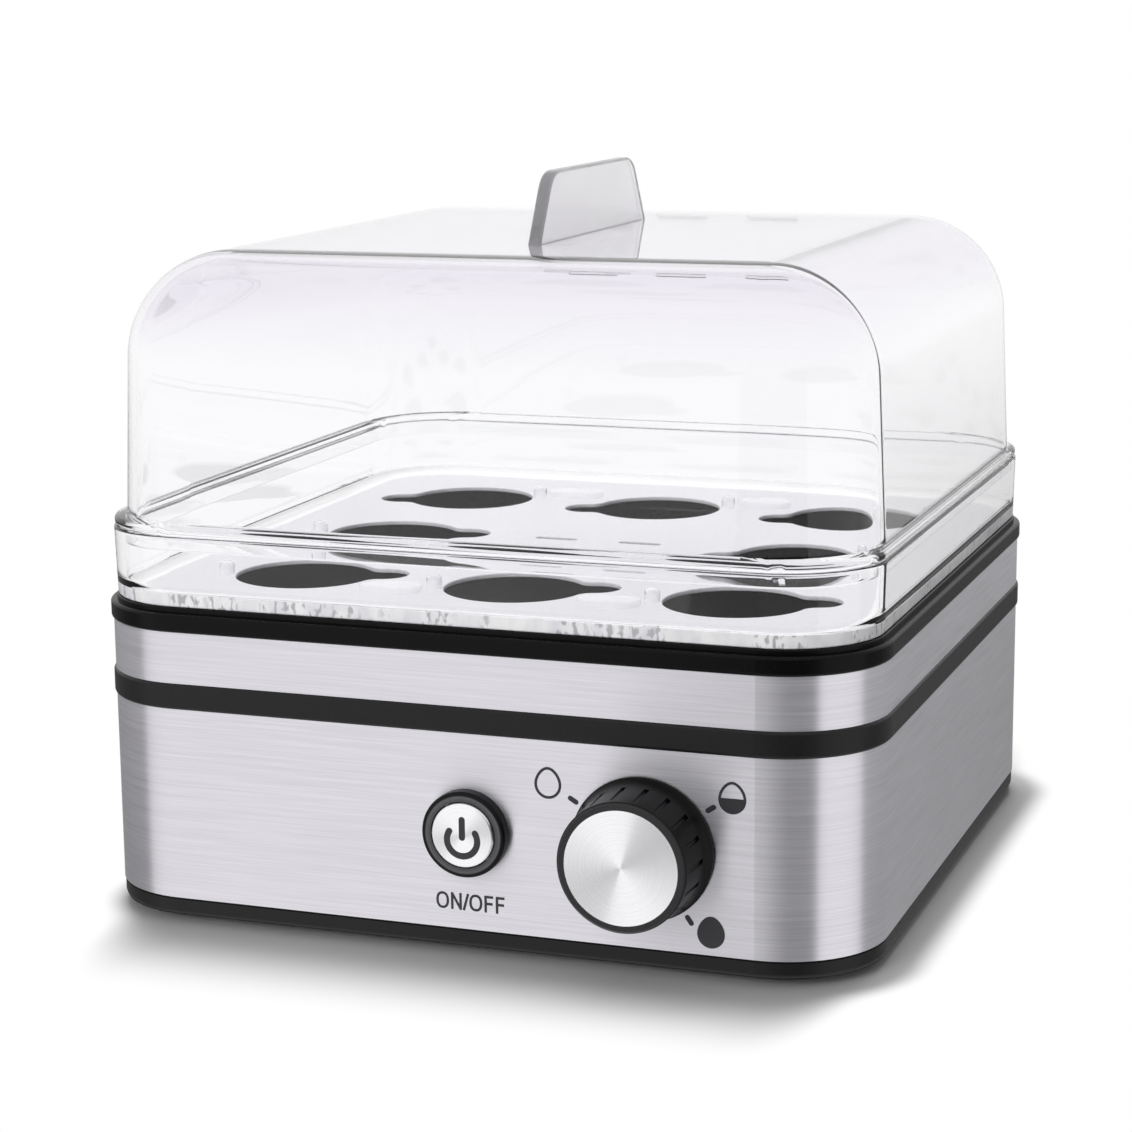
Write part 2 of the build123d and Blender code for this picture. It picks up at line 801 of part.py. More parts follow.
# Knob body: turned profile with a flared foot and a sunk face, hollow behind, with shallow flutes
flare_top = knob_gap + knob_flare
face_level = knob_reach - knob_cap_height
cap_seat_radius = knob_cap_radius + running_gap
with BuildPart() as knob_body:
    with BuildSketch(turning_plane(knob_x)):
        with BuildLine():
            Line((0, hub_start), (0, face_level))
            Line((0, face_level), (cap_seat_radius, face_level))
            Line((cap_seat_radius, face_level), (cap_seat_radius, knob_reach))
            Line((cap_seat_radius, knob_reach), (knob_rim_radius - rim_edge, knob_reach))
            Line((knob_rim_radius - rim_edge, knob_reach), (knob_rim_radius, knob_reach - rim_edge))
            Line((knob_rim_radius, knob_reach - rim_edge), (knob_side_radius, flare_top))
            TangentArc(
                (knob_side_radius, flare_top),
                (knob_base_radius, knob_gap + rim_edge),
                tangent=(knob_side_radius - knob_rim_radius, flare_top - knob_reach + rim_edge),
            )
            Line((knob_base_radius, knob_gap + rim_edge), (knob_base_radius, knob_gap))
            Line((knob_base_radius, knob_gap), (knob_side_radius - knob_wall, knob_gap))
            Line((knob_side_radius - knob_wall, knob_gap), (knob_side_radius - knob_wall, knob_cavity))
            Line((knob_side_radius - knob_wall, knob_cavity), (knob_hub_radius, knob_cavity))
            Line((knob_hub_radius, knob_cavity), (knob_hub_radius, hub_start))
            Line((knob_hub_radius, hub_start), (0, hub_start))
        make_face()
    revolve(axis=control_axis(knob_x))
    with BuildSketch(panel_plane(knob_x, -hub_start)):
        Circle(shaft_radius + running_gap)
        with Locations((0, shaft_radius - shaft_flat + running_gap)):
            Rectangle(
                2 * (shaft_radius + running_gap),
                shaft_radius,
                align=(Align.CENTER, Align.MIN),
                mode=Mode.SUBTRACT,
            )
    extrude(amount=shaft_grip + knob_gap, mode=Mode.SUBTRACT)
    with BuildSketch(panel_plane(knob_x, -flare_top)):
        with PolarLocations(knob_side_radius, knob_flutes):
            Circle(flute_radius)
    extrude(amount=knob_reach - flare_top - flute_stop, mode=Mode.SUBTRACT)
knob_body.part.label = "knob_body"
export_step(knob_body.part, "parts/knob_body.step")


# Knob cap: a thin spun disc in the knob's sunk face
with BuildPart() as knob_cap:
    with BuildSketch(panel_plane(knob_x, -face_level)):
        Circle(knob_cap_radius)
    extrude(amount=knob_cap_height - running_gap)
knob_cap.part.label = "knob_cap"
export_step(knob_cap.part, "parts/knob_cap.step")


# Button collar: a flange on the steel, and a tube behind it with a lip that holds the button in
lip_back = bezel_lip - bezel_proud
with BuildPart() as button_bezel:
    with BuildSketch(panel_plane(button_x, 0)):
        Circle(bezel_radius)
    extrude(amount=bezel_proud)
    fillet(button_bezel.edges().sort_by(Axis.Y)[0], radius=rim_edge)
    with BuildSketch(panel_plane(button_x, 0)):
        Circle(bezel_tube_radius)
    extrude(amount=-bezel_length)
    with BuildSketch(panel_plane(button_x, -bezel_proud)):
        Circle(button_radius + button_gap)
    extrude(amount=-bezel_proud - bezel_length, mode=Mode.SUBTRACT)
    with BuildSketch(panel_plane(button_x, lip_back)):
        Circle(button_radius + button_flange + button_gap)
    extrude(amount=lip_back - bezel_length, mode=Mode.SUBTRACT)
button_bezel.part.label = "button_bezel"
export_step(button_bezel.part, "parts/button_bezel.step")


# Button cap: a dished round face, a flange behind the collar's lip and a stem to the switch
flange_front = lip_back + button_gap
switch_front = board_front - switch_height
stem_end = switch_front - button_travel - plunger_clear
with BuildPart() as button_cap:
    with BuildSketch(panel_plane(button_x, -button_proud)):
        Circle(button_radius)
    extrude(amount=-button_proud - flange_front)
    fillet(button_cap.edges().sort_by(Axis.Y)[0], radius=button_edge)
    with BuildSketch(panel_plane(button_x, flange_front)):
        Circle(button_radius + button_flange)
    extrude(amount=-button_flange_height)
    with BuildSketch(panel_plane(button_x, flange_front)):
        Circle(button_stem_radius)
    extrude(amount=flange_front - stem_end)
button_cap.part.label = "button_cap"
export_step(button_cap.part, "parts/button_cap.step")


# Push switch behind the button, and its plunger
with BuildPart() as push_switch:
    with BuildSketch(panel_plane(button_x, board_front)):
        RectangleRounded(switch_size, switch_size, switch_corner)
    extrude(amount=switch_height)
    with BuildSketch(panel_plane(button_x, switch_front)):
        Circle(plunger_radius + running_gap)
    extrude(amount=-(plunger_length - plunger_clear), mode=Mode.SUBTRACT)
push_switch.part.label = "push_switch"
export_step(push_switch.part, "parts/push_switch.step")

with BuildPart() as switch_plunger:
    with BuildSketch(panel_plane(button_x, stem_end)):
        Circle(plunger_radius)
    extrude(amount=-plunger_length)
switch_plunger.part.label = "switch_plunger"
export_step(switch_plunger.part, "parts/switch_plunger.step")


# Buzzer and controller on the control board
with BuildPart() as buzzer:
    with BuildSketch(panel_plane(board_x, board_front)):
        Circle(buzzer_radius)
    extrude(amount=buzzer_height)
    with BuildSketch(panel_plane(board_x, board_front - buzzer_height)):
        Circle(buzzer_hole_radius)
    extrude(amount=-buzzer_hole_depth, mode=Mode.SUBTRACT)
buzzer.part.label = "buzzer"
export_step(buzzer.part, "parts/buzzer.step")

with BuildPart() as timer_chip:
    with BuildSketch(panel_plane(board_x, board_back)):
        Rectangle(chip_width, chip_depth)
    extrude(amount=-chip_height)
timer_chip.part.label = "timer_chip"
export_step(timer_chip.part, "parts/timer_chip.step")


# Power board on four posts of the base
power_board_bottom = floor_top + post_height
power_board_top = power_board_bottom + board_wall
power_hole_x = power_board_width - 2 * board_hole_inset
power_hole_y = power_board_depth - 2 * board_hole_inset
power_plane = Plane(origin=(power_board_x, centre_y + power_board_y, power_board_bottom))
power_top_plane = Plane(origin=(power_board_x, centre_y + power_board_y, power_board_top))
with BuildPart() as power_board:
    with BuildSketch(power_plane):
        RectangleRounded(power_board_width, power_board_depth, board_corner)
        with GridLocations(power_hole_x, power_hole_y, 2, 2):
            Circle(board_screw_radius + fit_gap, mode=Mode.SUBTRACT)
    extrude(amount=board_wall)
power_board.part.label = "power_board"
export_step(power_board.part, "parts/power_board.step")


# Relay, capacitor and terminal block on the power board
with BuildPart() as relay:
    with BuildSketch(power_top_plane):
        with Locations((relay_x, relay_y)):
            Rectangle(relay_width, relay_depth)
    extrude(amount=relay_height)
    fillet(relay.edges().filter_by(Axis.Z), radius=relay_corner)
relay.part.label = "relay"
export_step(relay.part, "parts/relay.step")

with BuildPart() as capacitor:
    with BuildSketch(power_top_plane):
        with Locations((capacitor_x, capacitor_y)):
            Rectangle(capacitor_width, capacitor_depth)
    extrude(amount=capacitor_height)
    fillet(capacitor.edges().filter_by(Axis.Z), radius=capacitor_corner)
capacitor.part.label = "capacitor"
export_step(capacitor.part, "parts/capacitor.step")

way_pitch = terminal_width / terminal_ways
with BuildPart() as terminal_block:
    with BuildSketch(power_top_plane):
        with Locations((0, terminal_y)):
            Rectangle(terminal_width, terminal_depth)
    extrude(amount=terminal_height)
    with BuildSketch(terminal_block.faces().sort_by(Axis.Y)[-1]):
        with GridLocations(way_pitch, 1, terminal_ways, 1):
            Circle(way_radius)
    extrude(amount=-way_depth, mode=Mode.SUBTRACT)
terminal_block.part.label = "terminal_block"
export_step(terminal_block.part, "parts/terminal_block.step")


# Cord gland in the rear wall
gland_plane = Plane(origin=(gland_x, rear_y, base_top + gland_rise), z_dir=(0, 1, 0))
gland_catch = Plane(origin=(gland_x, rear_y - tongue_outer, base_top + gland_rise), z_dir=(0, 1, 0))
with BuildPart() as cord_gland:
    with BuildSketch(gland_plane):
        Circle(gland_flange_radius)
    extrude(amount=gland_flange_height)
    fillet(cord_gland.edges().sort_by(Axis.Y)[-1], radius=gland_edge)
    with BuildSketch(gland_plane):
        Circle(gland_body_radius)
    extrude(amount=-gland_length)
    with BuildSketch(gland_catch):
        Circle(gland_body_radius + band_wall)
    extrude(amount=-tongue_wall)
    with BuildSketch(gland_plane):
        Circle(gland_bore_radius)
    extrude(amount=gland_flange_height, mode=Mode.SUBTRACT)
    with BuildSketch(gland_plane):
        Circle(gland_bore_radius)
    extrude(amount=-gland_length, mode=Mode.SUBTRACT)
cord_gland.part.label = "cord_gland"
export_step(cord_gland.part, "parts/cord_gland.step")


# Case screws, up through the base into the columns
case_head_bottom = base_bottom + screw_sink - screw_head_height
with BuildPart() as base_screws:
    with BuildSketch(level(case_head_bottom)):
        with GridLocations(2 * column_x, 2 * column_y, 2, 2):
            Circle(screw_head_radius)
    extrude(amount=screw_head_height)
    with BuildSketch(level(case_head_bottom)):
        with GridLocations(2 * column_x, 2 * column_y, 2, 2):
            Circle(case_screw_radius)
    extrude(amount=screw_head_height + case_screw_length)
base_screws.part.label = "base_screws"
export_step(base_screws.part, "parts/base_screws.step")


# Board screws: four into the carrier's posts and four into the base's posts
with BuildPart() as board_screws:
    with BuildSketch(panel_plane(board_x, board_back)):
        with GridLocations(board_hole_x, board_hole_z, 2, 2):
            Circle(board_head_radius)
    extrude(amount=-board_head_height)
    with BuildSketch(panel_plane(board_x, board_back)):
        with GridLocations(board_hole_x, board_hole_z, 2, 2):
            Circle(board_screw_radius)
    extrude(amount=board_screw_length)
    with BuildSketch(power_top_plane):
        with GridLocations(power_hole_x, power_hole_y, 2, 2):
            Circle(board_head_radius)
    extrude(amount=board_head_height)
    with BuildSketch(power_top_plane):
        with GridLocations(power_hole_x, power_hole_y, 2, 2):
            Circle(board_screw_radius)
    extrude(amount=-board_screw_length)
board_screws.part.label = "board_screws"
export_step(board_screws.part, "parts/board_screws.step")
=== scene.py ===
from math import atan2, cos, pi, radians, sin

import bpy
import numpy as np
from mathutils import Matrix, Vector


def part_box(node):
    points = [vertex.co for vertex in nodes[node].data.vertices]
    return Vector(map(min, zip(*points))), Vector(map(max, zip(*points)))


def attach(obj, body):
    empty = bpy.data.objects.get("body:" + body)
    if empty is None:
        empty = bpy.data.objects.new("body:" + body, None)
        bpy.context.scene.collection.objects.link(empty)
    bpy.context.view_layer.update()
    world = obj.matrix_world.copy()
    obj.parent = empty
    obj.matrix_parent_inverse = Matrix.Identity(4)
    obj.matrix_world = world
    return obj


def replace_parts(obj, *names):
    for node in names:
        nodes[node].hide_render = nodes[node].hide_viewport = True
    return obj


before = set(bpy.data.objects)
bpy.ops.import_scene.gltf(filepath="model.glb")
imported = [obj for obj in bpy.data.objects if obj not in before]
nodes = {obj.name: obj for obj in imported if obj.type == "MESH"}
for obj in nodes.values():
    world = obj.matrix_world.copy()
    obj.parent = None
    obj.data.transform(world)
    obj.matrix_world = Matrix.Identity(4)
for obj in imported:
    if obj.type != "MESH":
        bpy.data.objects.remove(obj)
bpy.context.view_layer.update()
mm = 0.001
print("frame loaded:", len(nodes), "nodes")

# The steel wrap gives the body's outline, and the stacked pieces give the levels, all in metres
bandLow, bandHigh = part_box("lower_band")
knobLow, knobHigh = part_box("knob_cap")
buttonLow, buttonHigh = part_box("button_cap")
halfWidth = (bandHigh.x - bandLow.x) / 2
halfDepth = (bandHigh.y - bandLow.y) / 2
centreY = (bandHigh.y + bandLow.y) / 2
panelY = bandLow.y
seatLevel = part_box("egg_tray")[1].z
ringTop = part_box("top_ring")[1].z
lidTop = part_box("lid")[1].z
knobX = (knobLow.x + knobHigh.x) / 2
controlZ = (knobLow.z + knobHigh.z) / 2
buttonX = (buttonLow.x + buttonHigh.x) / 2
bodyCorner = 23.6  # mm, the wrap's corner radius


def toLinear(hexColour):
    # sRGB hex to linear light: a short straight toe, then a 2.4 power
    parts = np.array([int(hexColour[i:i + 2], 16) / 255 for i in (1, 3, 5)])
    linear = np.where(parts <= 0.04045, parts / 12.92, ((parts + 0.055) / 1.055) ** 2.4)
    return (*linear, 1.0)


def addNode(tree, kind, inputs=None, output=0, **settings):
    # adds a node and gives back one of its outputs; an input is a value or another node's output
    node = tree.nodes.new("ShaderNode" + kind)
    for key, value in settings.items():
        setattr(node, key, value)
    for key, value in (inputs or {}).items():
        if isinstance(value, bpy.types.NodeSocket):
            tree.links.new(value, node.inputs[key])
        else:
            node.inputs[key].default_value = value
    return node.outputs[output] if node.outputs else None


def emptyTree(owner):
    # the node tree of a material or a world, with nothing in it yet
    owner.use_nodes = True
    owner.node_tree.nodes.clear()
    return owner.node_tree


def newMaterial(name):
    material = bpy.data.materials.new(name)
    return material, emptyTree(material)


def addSurface(tree, **sockets):
    # the shader and the material's output; a socket takes a value or another node's output
    named = {key.replace("_", " "): value for key, value in sockets.items()}
    addNode(tree, "OutputMaterial", {"Surface": addNode(tree, "BsdfPrincipled", named)})


def stretchedNoise(tree, sizes, detail=2.0):
    # noise on Object coordinates, whose grains have these sizes along X, Y and Z in millimetres
    place = addNode(tree, "TexCoord", output="Object")
    scale = [1 / (size * mm) for size in sizes]
    spread = addNode(tree, "VectorMath", {0: place, 1: scale}, operation="MULTIPLY")
    return addNode(tree, "TexNoise", {"Vector": spread, "Scale": 1.0, "Detail": detail})


def between(tree, noise, low=0.0, high=1.0):
    # the noise's middle, 0.3 to 0.7, spread from low to high
    ends = {"From Min": 0.3, "From Max": 0.7, "To Min": low, "To Max": high}
    return addNode(tree, "MapRange", {"Value": noise, **ends})


def twoTone(tree, factor, dark, light):
    # the colour mix has its two colours at sockets 6 and 7 and gives its result at output 2
    colours = {6: toLinear(dark), 7: toLinear(light)}
    return addNode(tree, "Mix", {"Factor": factor, **colours}, 2, data_type="RGBA")


def bumpFrom(tree, height, strength, depth):
    # depth is how far the height's full swing stands proud, in millimetres
    return addNode(tree, "Bump", {"Height": height, "Strength": strength, "Distance": depth * mm})


squareToGrain = 0.25  # of a turn: brushed and turned metal stretches a highlight across its grooves

# Stainless sheet, brushed along the wrap: fine level streaks that pull reflections upright. Lengths in mm;
# real streaks are near 0.05 wide, too fine to show
steelLook = {"dark": "#D9D7DD", "light": "#E9E7ED", "roughLow": 0.34, "roughHigh": 0.4, "anisotropy": 0.92,
             "streakLength": 24.0, "streakWidth": 0.37, "bump": 0.02, "bumpDepth": 0.004}


def brushedStainless():
    look = steelLook
    material, tree = newMaterial("brushedStainless")
    streaks = stretchedNoise(tree, (look["streakLength"], look["streakLength"], look["streakWidth"]), 3.0)
    addSurface(tree, Metallic=1.0, Anisotropic=look["anisotropy"], Anisotropic_Rotation=squareToGrain,
               Base_Color=twoTone(tree, between(tree, streaks), look["dark"], look["light"]),
               Roughness=between(tree, streaks, look["roughLow"], look["roughHigh"]),
               Tangent=addNode(tree, "Tangent", direction_type="RADIAL", axis="Z"),
               Normal=bumpFrom(tree, streaks, look["bump"], look["bumpDepth"]))
    return material


# Aluminium disc turned on a lathe: rings about the control's axis, so light opens in cones from the middle
spunLook = {"dark": "#F6F4F9", "light": "#FFFEFF", "ringPitch": 0.24, "roughness": 0.27, "anisotropy": 1.0,
            "bump": 0.05, "bumpDepth": 0.004}  # pitch and depth in mm


def spunAluminium(name, centreX):
    look = spunLook
    material, tree = newMaterial(name)
    place = addNode(tree, "TexCoord", output="Object")
    centre = (centreX, 0, controlZ)
    moved = addNode(tree, "VectorMath", {0: place, 1: centre}, operation="SUBTRACT")
    flat = addNode(tree, "VectorMath", {0: moved, 1: (1, 0, 1)}, operation="MULTIPLY")
    radius = addNode(tree, "VectorMath", {0: flat}, "Value", operation="LENGTH")
    pitch = look["ringPitch"] * mm
    turns = addNode(tree, "Math", {0: radius, 1: 1 / pitch}, operation="MULTIPLY")
    rings = addNode(tree, "TexNoise", {"W": turns, "Scale": 1.0, "Detail": 2.0}, noise_dimensions="1D")
    # the grooves run square to the axis and to the radius
    groove = addNode(tree, "VectorMath", {0: flat, 1: (0, 1, 0)}, operation="CROSS_PRODUCT")
    addSurface(tree, Metallic=1.0, Roughness=look["roughness"], Anisotropic=look["anisotropy"],
               Anisotropic_Rotation=squareToGrain,
               Base_Color=twoTone(tree, between(tree, rings), look["dark"], look["light"]),
               Tangent=addNode(tree, "VectorMath", {0: groove}, operation="NORMALIZE"),
               Normal=bumpFrom(tree, rings, look["bump"], look["bumpDepth"]))
    return material


grainGloss = 0.05  # how far the grain moves the roughness up and down
grainDepth = 0.03  # mm that the grain stands proud


def grainedFinish(name, dark, light, rough, grain, bump, **sockets):
    # a moulded, cast or coated surface: fine even grain in tone, gloss and height; the grain's size is in mm
    material, tree = newMaterial(name)
    speckle = stretchedNoise(tree, (grain, grain, grain))
    addSurface(tree, Base_Color=twoTone(tree, between(tree, speckle), dark, light),
               Roughness=between(tree, speckle, rough - grainGloss, rough + grainGloss),
               Normal=bumpFrom(tree, speckle, bump, grainDepth), **sockets)
    return material


# SAN, injection moulded in a polished tool: water clear with a faint lavender tint; the lid's round and top
# are painted a little greyer, a painted shade for the grey the round takes on where light crosses it on a
# slant; the round's levels are mm below the lid's top. SAN's IOR is 1.57, and 1.42 gives the weaker mirror
# images of a thin lid under soft light
clearLook = {"wall": "#FDFDFE", "round": "#F4F2F7", "roughness": 0.02, "ior": 1.42, "specular": 0.5,
             "roundLow": 24.0, "roundHigh": 9.0}


def polishedSan():
    look = clearLook
    material, tree = newMaterial("polishedSan")
    place = addNode(tree, "TexCoord", output="Object")
    rise = addNode(tree, "SeparateXYZ", {0: place}, "Z")
    low, high = (lidTop - look[key] * mm for key in ("roundLow", "roundHigh"))
    # painted shade: the round and top greyer than the wall
    share = addNode(tree, "MapRange", {"Value": rise, "From Min": low, "From Max": high})
    addSurface(tree, Base_Color=twoTone(tree, share, look["wall"], look["round"]), Transmission_Weight=1.0,
               IOR=look["ior"], Roughness=look["roughness"], Specular_IOR_Level=look["specular"])
    return material


# The wall's foot is painted near white, a painted glow for the light that runs down the wall and comes out at
# the foot; paler patches break it up, and short groups of darker upright marks along the outline are painted
# reflections of the black ring below, which the clear edge shows in bits; the dark colour is theirs, lengths
# in mm
edgeLook = {"dark": "#B9B9BF", "pale": "#EDECF1", "light": "#FFFFFF", "roughness": 0.35,
            "transmission": 0.15, "ior": 1.5, "coat": 0.6, "bump": 0.2, "bumpDepth": 0.1,
            "markPitch": 1.3, "markHeight": 2.6, "markFrom": 0.5, "markTo": 0.64,
            "groupPitch": 9.0, "groupHeight": 50.0, "groupFrom": 0.54, "groupTo": 0.62,
            "patchPitch": 4.0, "patchHeight": 8.0}


def alongNoise(tree, kind, detail):
    # noise along the piece's outline, whose length in metres is the map's first number, and up its face
    place = addNode(tree, "UVMap", uv_map="outline")
    along = addNode(tree, "SeparateXYZ", {0: place}, "X")
    solid = addNode(tree, "TexCoord", output="Object")
    rise = addNode(tree, "SeparateXYZ", {0: solid}, "Z")
    flat = addNode(tree, "CombineXYZ", {"X": along, "Y": rise})
    scale = (1 / (edgeLook[kind + "Pitch"] * mm), 1 / (edgeLook[kind + "Height"] * mm), 1)
    spread = addNode(tree, "VectorMath", {0: flat, 1: scale}, operation="MULTIPLY")
    return addNode(tree, "TexNoise", {"Vector": spread, "Scale": 1.0, "Detail": detail},
                   noise_dimensions="2D")


def edgeLitSan():
    look = edgeLook
    material, tree = newMaterial("edgeLitSan")
    # the dark upright marks are painted reflections of the black ring below
    reflectionMarks = alongNoise(tree, "mark", 1.0)
    groups = alongNoise(tree, "group", 0.0)
    patches = alongNoise(tree, "patch", 2.0)
    ends = {"From Min": look["groupFrom"], "From Max": look["groupTo"]}
    present = addNode(tree, "MapRange", {"Value": groups, **ends})
    ends = {"From Min": look["markFrom"], "From Max": look["markTo"]}
    sharpReflectionMarks = addNode(tree, "MapRange", {"Value": reflectionMarks, **ends})
    share = addNode(tree, "Math", {0: present, 1: sharpReflectionMarks}, operation="MULTIPLY")
    # the map's second number is 1 on the outer face and 0 elsewhere
    place = addNode(tree, "UVMap", uv_map="outline")
    outer = addNode(tree, "SeparateXYZ", {0: place}, "Y")
    seen = addNode(tree, "Math", {0: share, 1: outer}, operation="MULTIPLY")
    patchy = addNode(tree, "Math", {0: between(tree, patches), 1: outer}, operation="MULTIPLY")
    # painted glow and painted reflections: white with paler patches, and the dark marks on the outer face
    # only
    colours = {6: twoTone(tree, patchy, look["light"], look["pale"]), 7: toLinear(look["dark"])}
    tone = addNode(tree, "Mix", {"Factor": seen, **colours}, 2, data_type="RGBA")
    addSurface(tree, Base_Color=tone, Roughness=look["roughness"], Transmission_Weight=look["transmission"],
               IOR=look["ior"], Coat_Weight=look["coat"],
               Normal=bumpFrom(tree, reflectionMarks, look["bump"], look["bumpDepth"]))
    return material


# Lightly tinted SAN: the handle is a thick plate with a fine matt face, so it looks greyer than the lid;
# flow in the mould leaves soft clouds in the tint, whose size is in mm
smokeLook = {"dark": "#FAF8FD", "light": "#FFFEFF", "roughness": 0.22, "transmission": 0.9, "ior": 1.5,
             "cloud": 14.0}


def smokeSan():
    look = smokeLook
    material, tree = newMaterial("smokeSan")
    cloud = between(tree, stretchedNoise(tree, [look["cloud"]] * 3))
    addSurface(tree, Base_Color=twoTone(tree, cloud, look["dark"], look["light"]), IOR=look["ior"],
               Transmission_Weight=look["transmission"], Roughness=look["roughness"])
    return material


# Two black mouldings have zones: the collar a grey ring beside the button, by the radius about the button's
# axis, and the knob a paler front rim, by the depth behind its front; the rim's paler grey is a painted
# reflection of the lit room that its forward face mirrors. The axes are those that count for the distance,
# and each stop is mm and colour
zoneLook = {"roughness": 0.34, "specular": 0.14, "grain": 0.35, "grainLow": 0.9, "grainHigh": 1.1}
collarLook = {"axes": (1, 0, 1),
              "stops": ((7.7, "#4C4C4F"), (8.7, "#626266"), (9.0, "#121213"), (10.4, "#0C0C0D"))}
knobRimReflectionLook = {"axes": (0, 1, 0), "stops": ((0.25, "#343435"), (0.5, "#050505"))}


def zonedBlack(name, look, centreX, front):
    material, tree = newMaterial(name)
    place = addNode(tree, "TexCoord", output="Object")
    middle = (centreX, front, controlZ)
    moved = addNode(tree, "VectorMath", {0: place, 1: middle}, operation="SUBTRACT")
    flat = addNode(tree, "VectorMath", {0: moved, 1: look["axes"]}, operation="MULTIPLY")
    away = addNode(tree, "VectorMath", {0: flat}, "Value", operation="LENGTH")
    stops = look["stops"]
    furthest = stops[-1][0]
    share = addNode(tree, "Math", {0: away, 1: 1 / (furthest * mm)}, operation="MULTIPLY")
    zones = addNode(tree, "ValToRGB", {"Fac": share})
    elements = zones.node.color_ramp.elements
    elements[0].position, elements[0].color = stops[0][0] / furthest, toLinear(stops[0][1])
    elements[1].position, elements[1].color = 1.0, toLinear(stops[-1][1])
    for reach, colour in stops[1:-1]:
        elements.new(reach / furthest).color = toLinear(colour)
    # fine moulding grain, up and down in tone
    speckle = stretchedNoise(tree, [zoneLook["grain"]] * 3)
    grain = between(tree, speckle, zoneLook["grainLow"], zoneLook["grainHigh"])
    tone = addNode(tree, "VectorMath", {0: zones, "Scale": grain}, operation="SCALE")
    addSurface(tree, Base_Color=tone, Roughness=zoneLook["roughness"],
               Specular_IOR_Level=zoneLook["specular"])
    return material


# Finishes by the record's slots, and the few that single pieces have. A grained one gives its dark and light
# tone, roughness, grain and bump
finishes = {
    "clear_plastic": polishedSan(),
    "smoke_plastic": smokeSan(),
    "steel": brushedStainless(),
    "spun_aluminium": spunAluminium("spunAluminium", knobX),
    "silver_plastic": spunAluminium("spunButton", buttonX),
    # ABS from a spark-textured tool: black with a soft, broad sheen
    "black_plastic": grainedFinish("satinAbsBlack", "#131314", "#1B1B1C", 0.4, 0.35, 0.08,
                                   Specular_IOR_Level=0.26),
    # fluoropolymer on the pan: black, with hardly any sheen
    "pan_coat": grainedFinish("nonStickCoat", "#080809", "#0F0F10", 0.42, 0.5, 0.08, Specular_IOR_Level=0.07),
    # underneath and inside: matt rubber, sand-cast and drawn metal, green lacquer, dark and cream mouldings
    "rubber": grainedFinish("nitrileRubber", "#1B1B1B", "#242424", 0.7, 0.4, 0.1),
    "cast_aluminium": grainedFinish("castAluminium", "#8F8F8F", "#A6A6A6", 0.5, 0.8, 0.2, Metallic=1.0),
    "element_sheath": grainedFinish("drawnSheath", "#8A8783", "#9C9995", 0.35, 0.4, 0.05, Metallic=1.0),
    "board": grainedFinish("solderMask", "#1C4A2A", "#225633", 0.35, 0.6, 0.03),
    "dark_component": grainedFinish("phenolicMoulding", "#1F1F22", "#2A2A2D", 0.5, 0.4, 0.06),
    "pale_component": grainedFinish("polyamideMoulding", "#C9C3AE", "#D6D1BE", 0.5, 0.5, 0.05),
    # the tray's floor: a clear sheet with a fine grain, painted near white, a painted reflection of the white
    # room that the clear floor mirrors at a slant; it hides what is under it
    "tray_floor": grainedFinish("reflectionPaleSan", "#E9E8ED", "#F6F5F9", 0.4, 1.2, 0.05,
                                Transmission_Weight=0.15, IOR=1.5),
    "tray_foot": edgeLitSan(),
    # the pegs and pads are clear; their near-white colour is a painted glint, for the sparkle of cut glass
    "tray_fittings": grainedFinish("brightSan", "#F6F5F9", "#FFFFFF", 0.15, 0.9, 0.15,
                                   Transmission_Weight=0.75, IOR=1.5),
    # screen ink: a dark grey film with a dull face
    "screen_ink": grainedFinish("screenInk", "#29292D", "#303034", 0.5, 0.2, 0.02),
    # three black mouldings of their own: the top ring is polished and deeper black, two have zones
    "top_ring": grainedFinish("polishedAbsBlack", "#050505", "#090909", 0.3, 0.35, 0.03,
                              Specular_IOR_Level=0.12),
    "button_bezel": zonedBlack("collarGreyRing", collarLook, buttonX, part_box("button_bezel")[0].y),
    "knob_body": zonedBlack("knobAbsBlack", knobRimReflectionLook, knobX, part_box("knob_body")[0].y),
}
# the frame's plain materials carry the names of the record's slots
for node in nodes.values():
    for place, plain in enumerate(node.data.materials):
        node.data.materials[place] = finishes[plain.name]
for name in ("top_ring", "button_bezel", "knob_body"):
    nodes[name].data.materials[0] = finishes[name]
print("finishes:", len(finishes))


cornerSteps = 24  # points on each of the body's rounded corners


def roundedRings(inset, radius, height):
    # one ring for each value: four quarter circles about the corner centres, joined by straight sides,
    # drawn in from the body's outline by the inset
    values = np.broadcast_arrays(inset, radius, height)
    inset, radius, height = (value.astype(float)[:, None] for value in values)
    angle = np.radians(np.arange(4)[:, None] * 90 + np.linspace(0, 90, cornerSteps)).ravel()[None, :]
    signX = np.repeat([1, -1, -1, 1], cornerSteps)[None, :]
    signY = np.repeat([1, 1, -1, -1], cornerSteps)[None, :]
    x = signX * (halfWidth - (inset + radius) * mm) + radius * mm * np.cos(angle)
    y = signY * (halfDepth - (inset + radius) * mm) + radius * mm * np.sin(angle)
    return np.stack([x, centreY + y, np.broadcast_to(height, x.shape)], -1)


def bodyRings(inset, level):
    # rings that keep the wrap's corner centres
    inset = np.asarray(inset, float)
    return roundedRings(inset, bodyCorner - inset, level)


def edgeRound(edge, steps):
    # a rounded edge's two runs along a quarter circle: from nought to its radius, and from that to nought
    turn = np.linspace(0, pi / 2, steps)
    return edge * (1 - np.cos(turn)), edge * (1 - np.sin(turn))


def shadeSmooth(mesh, sharp=35):
    # smooth faces, with an edge kept where two meet at more than this many degrees
    mesh.polygons.foreach_set("use_smooth", np.ones(len(mesh.polygons), bool))
    mesh.set_sharp_from_angle(angle=radians(sharp))


def addObject(name, data):
    thing = bpy.data.objects.new(name, data)
    bpy.context.scene.collection.objects.link(thing)
    return thing


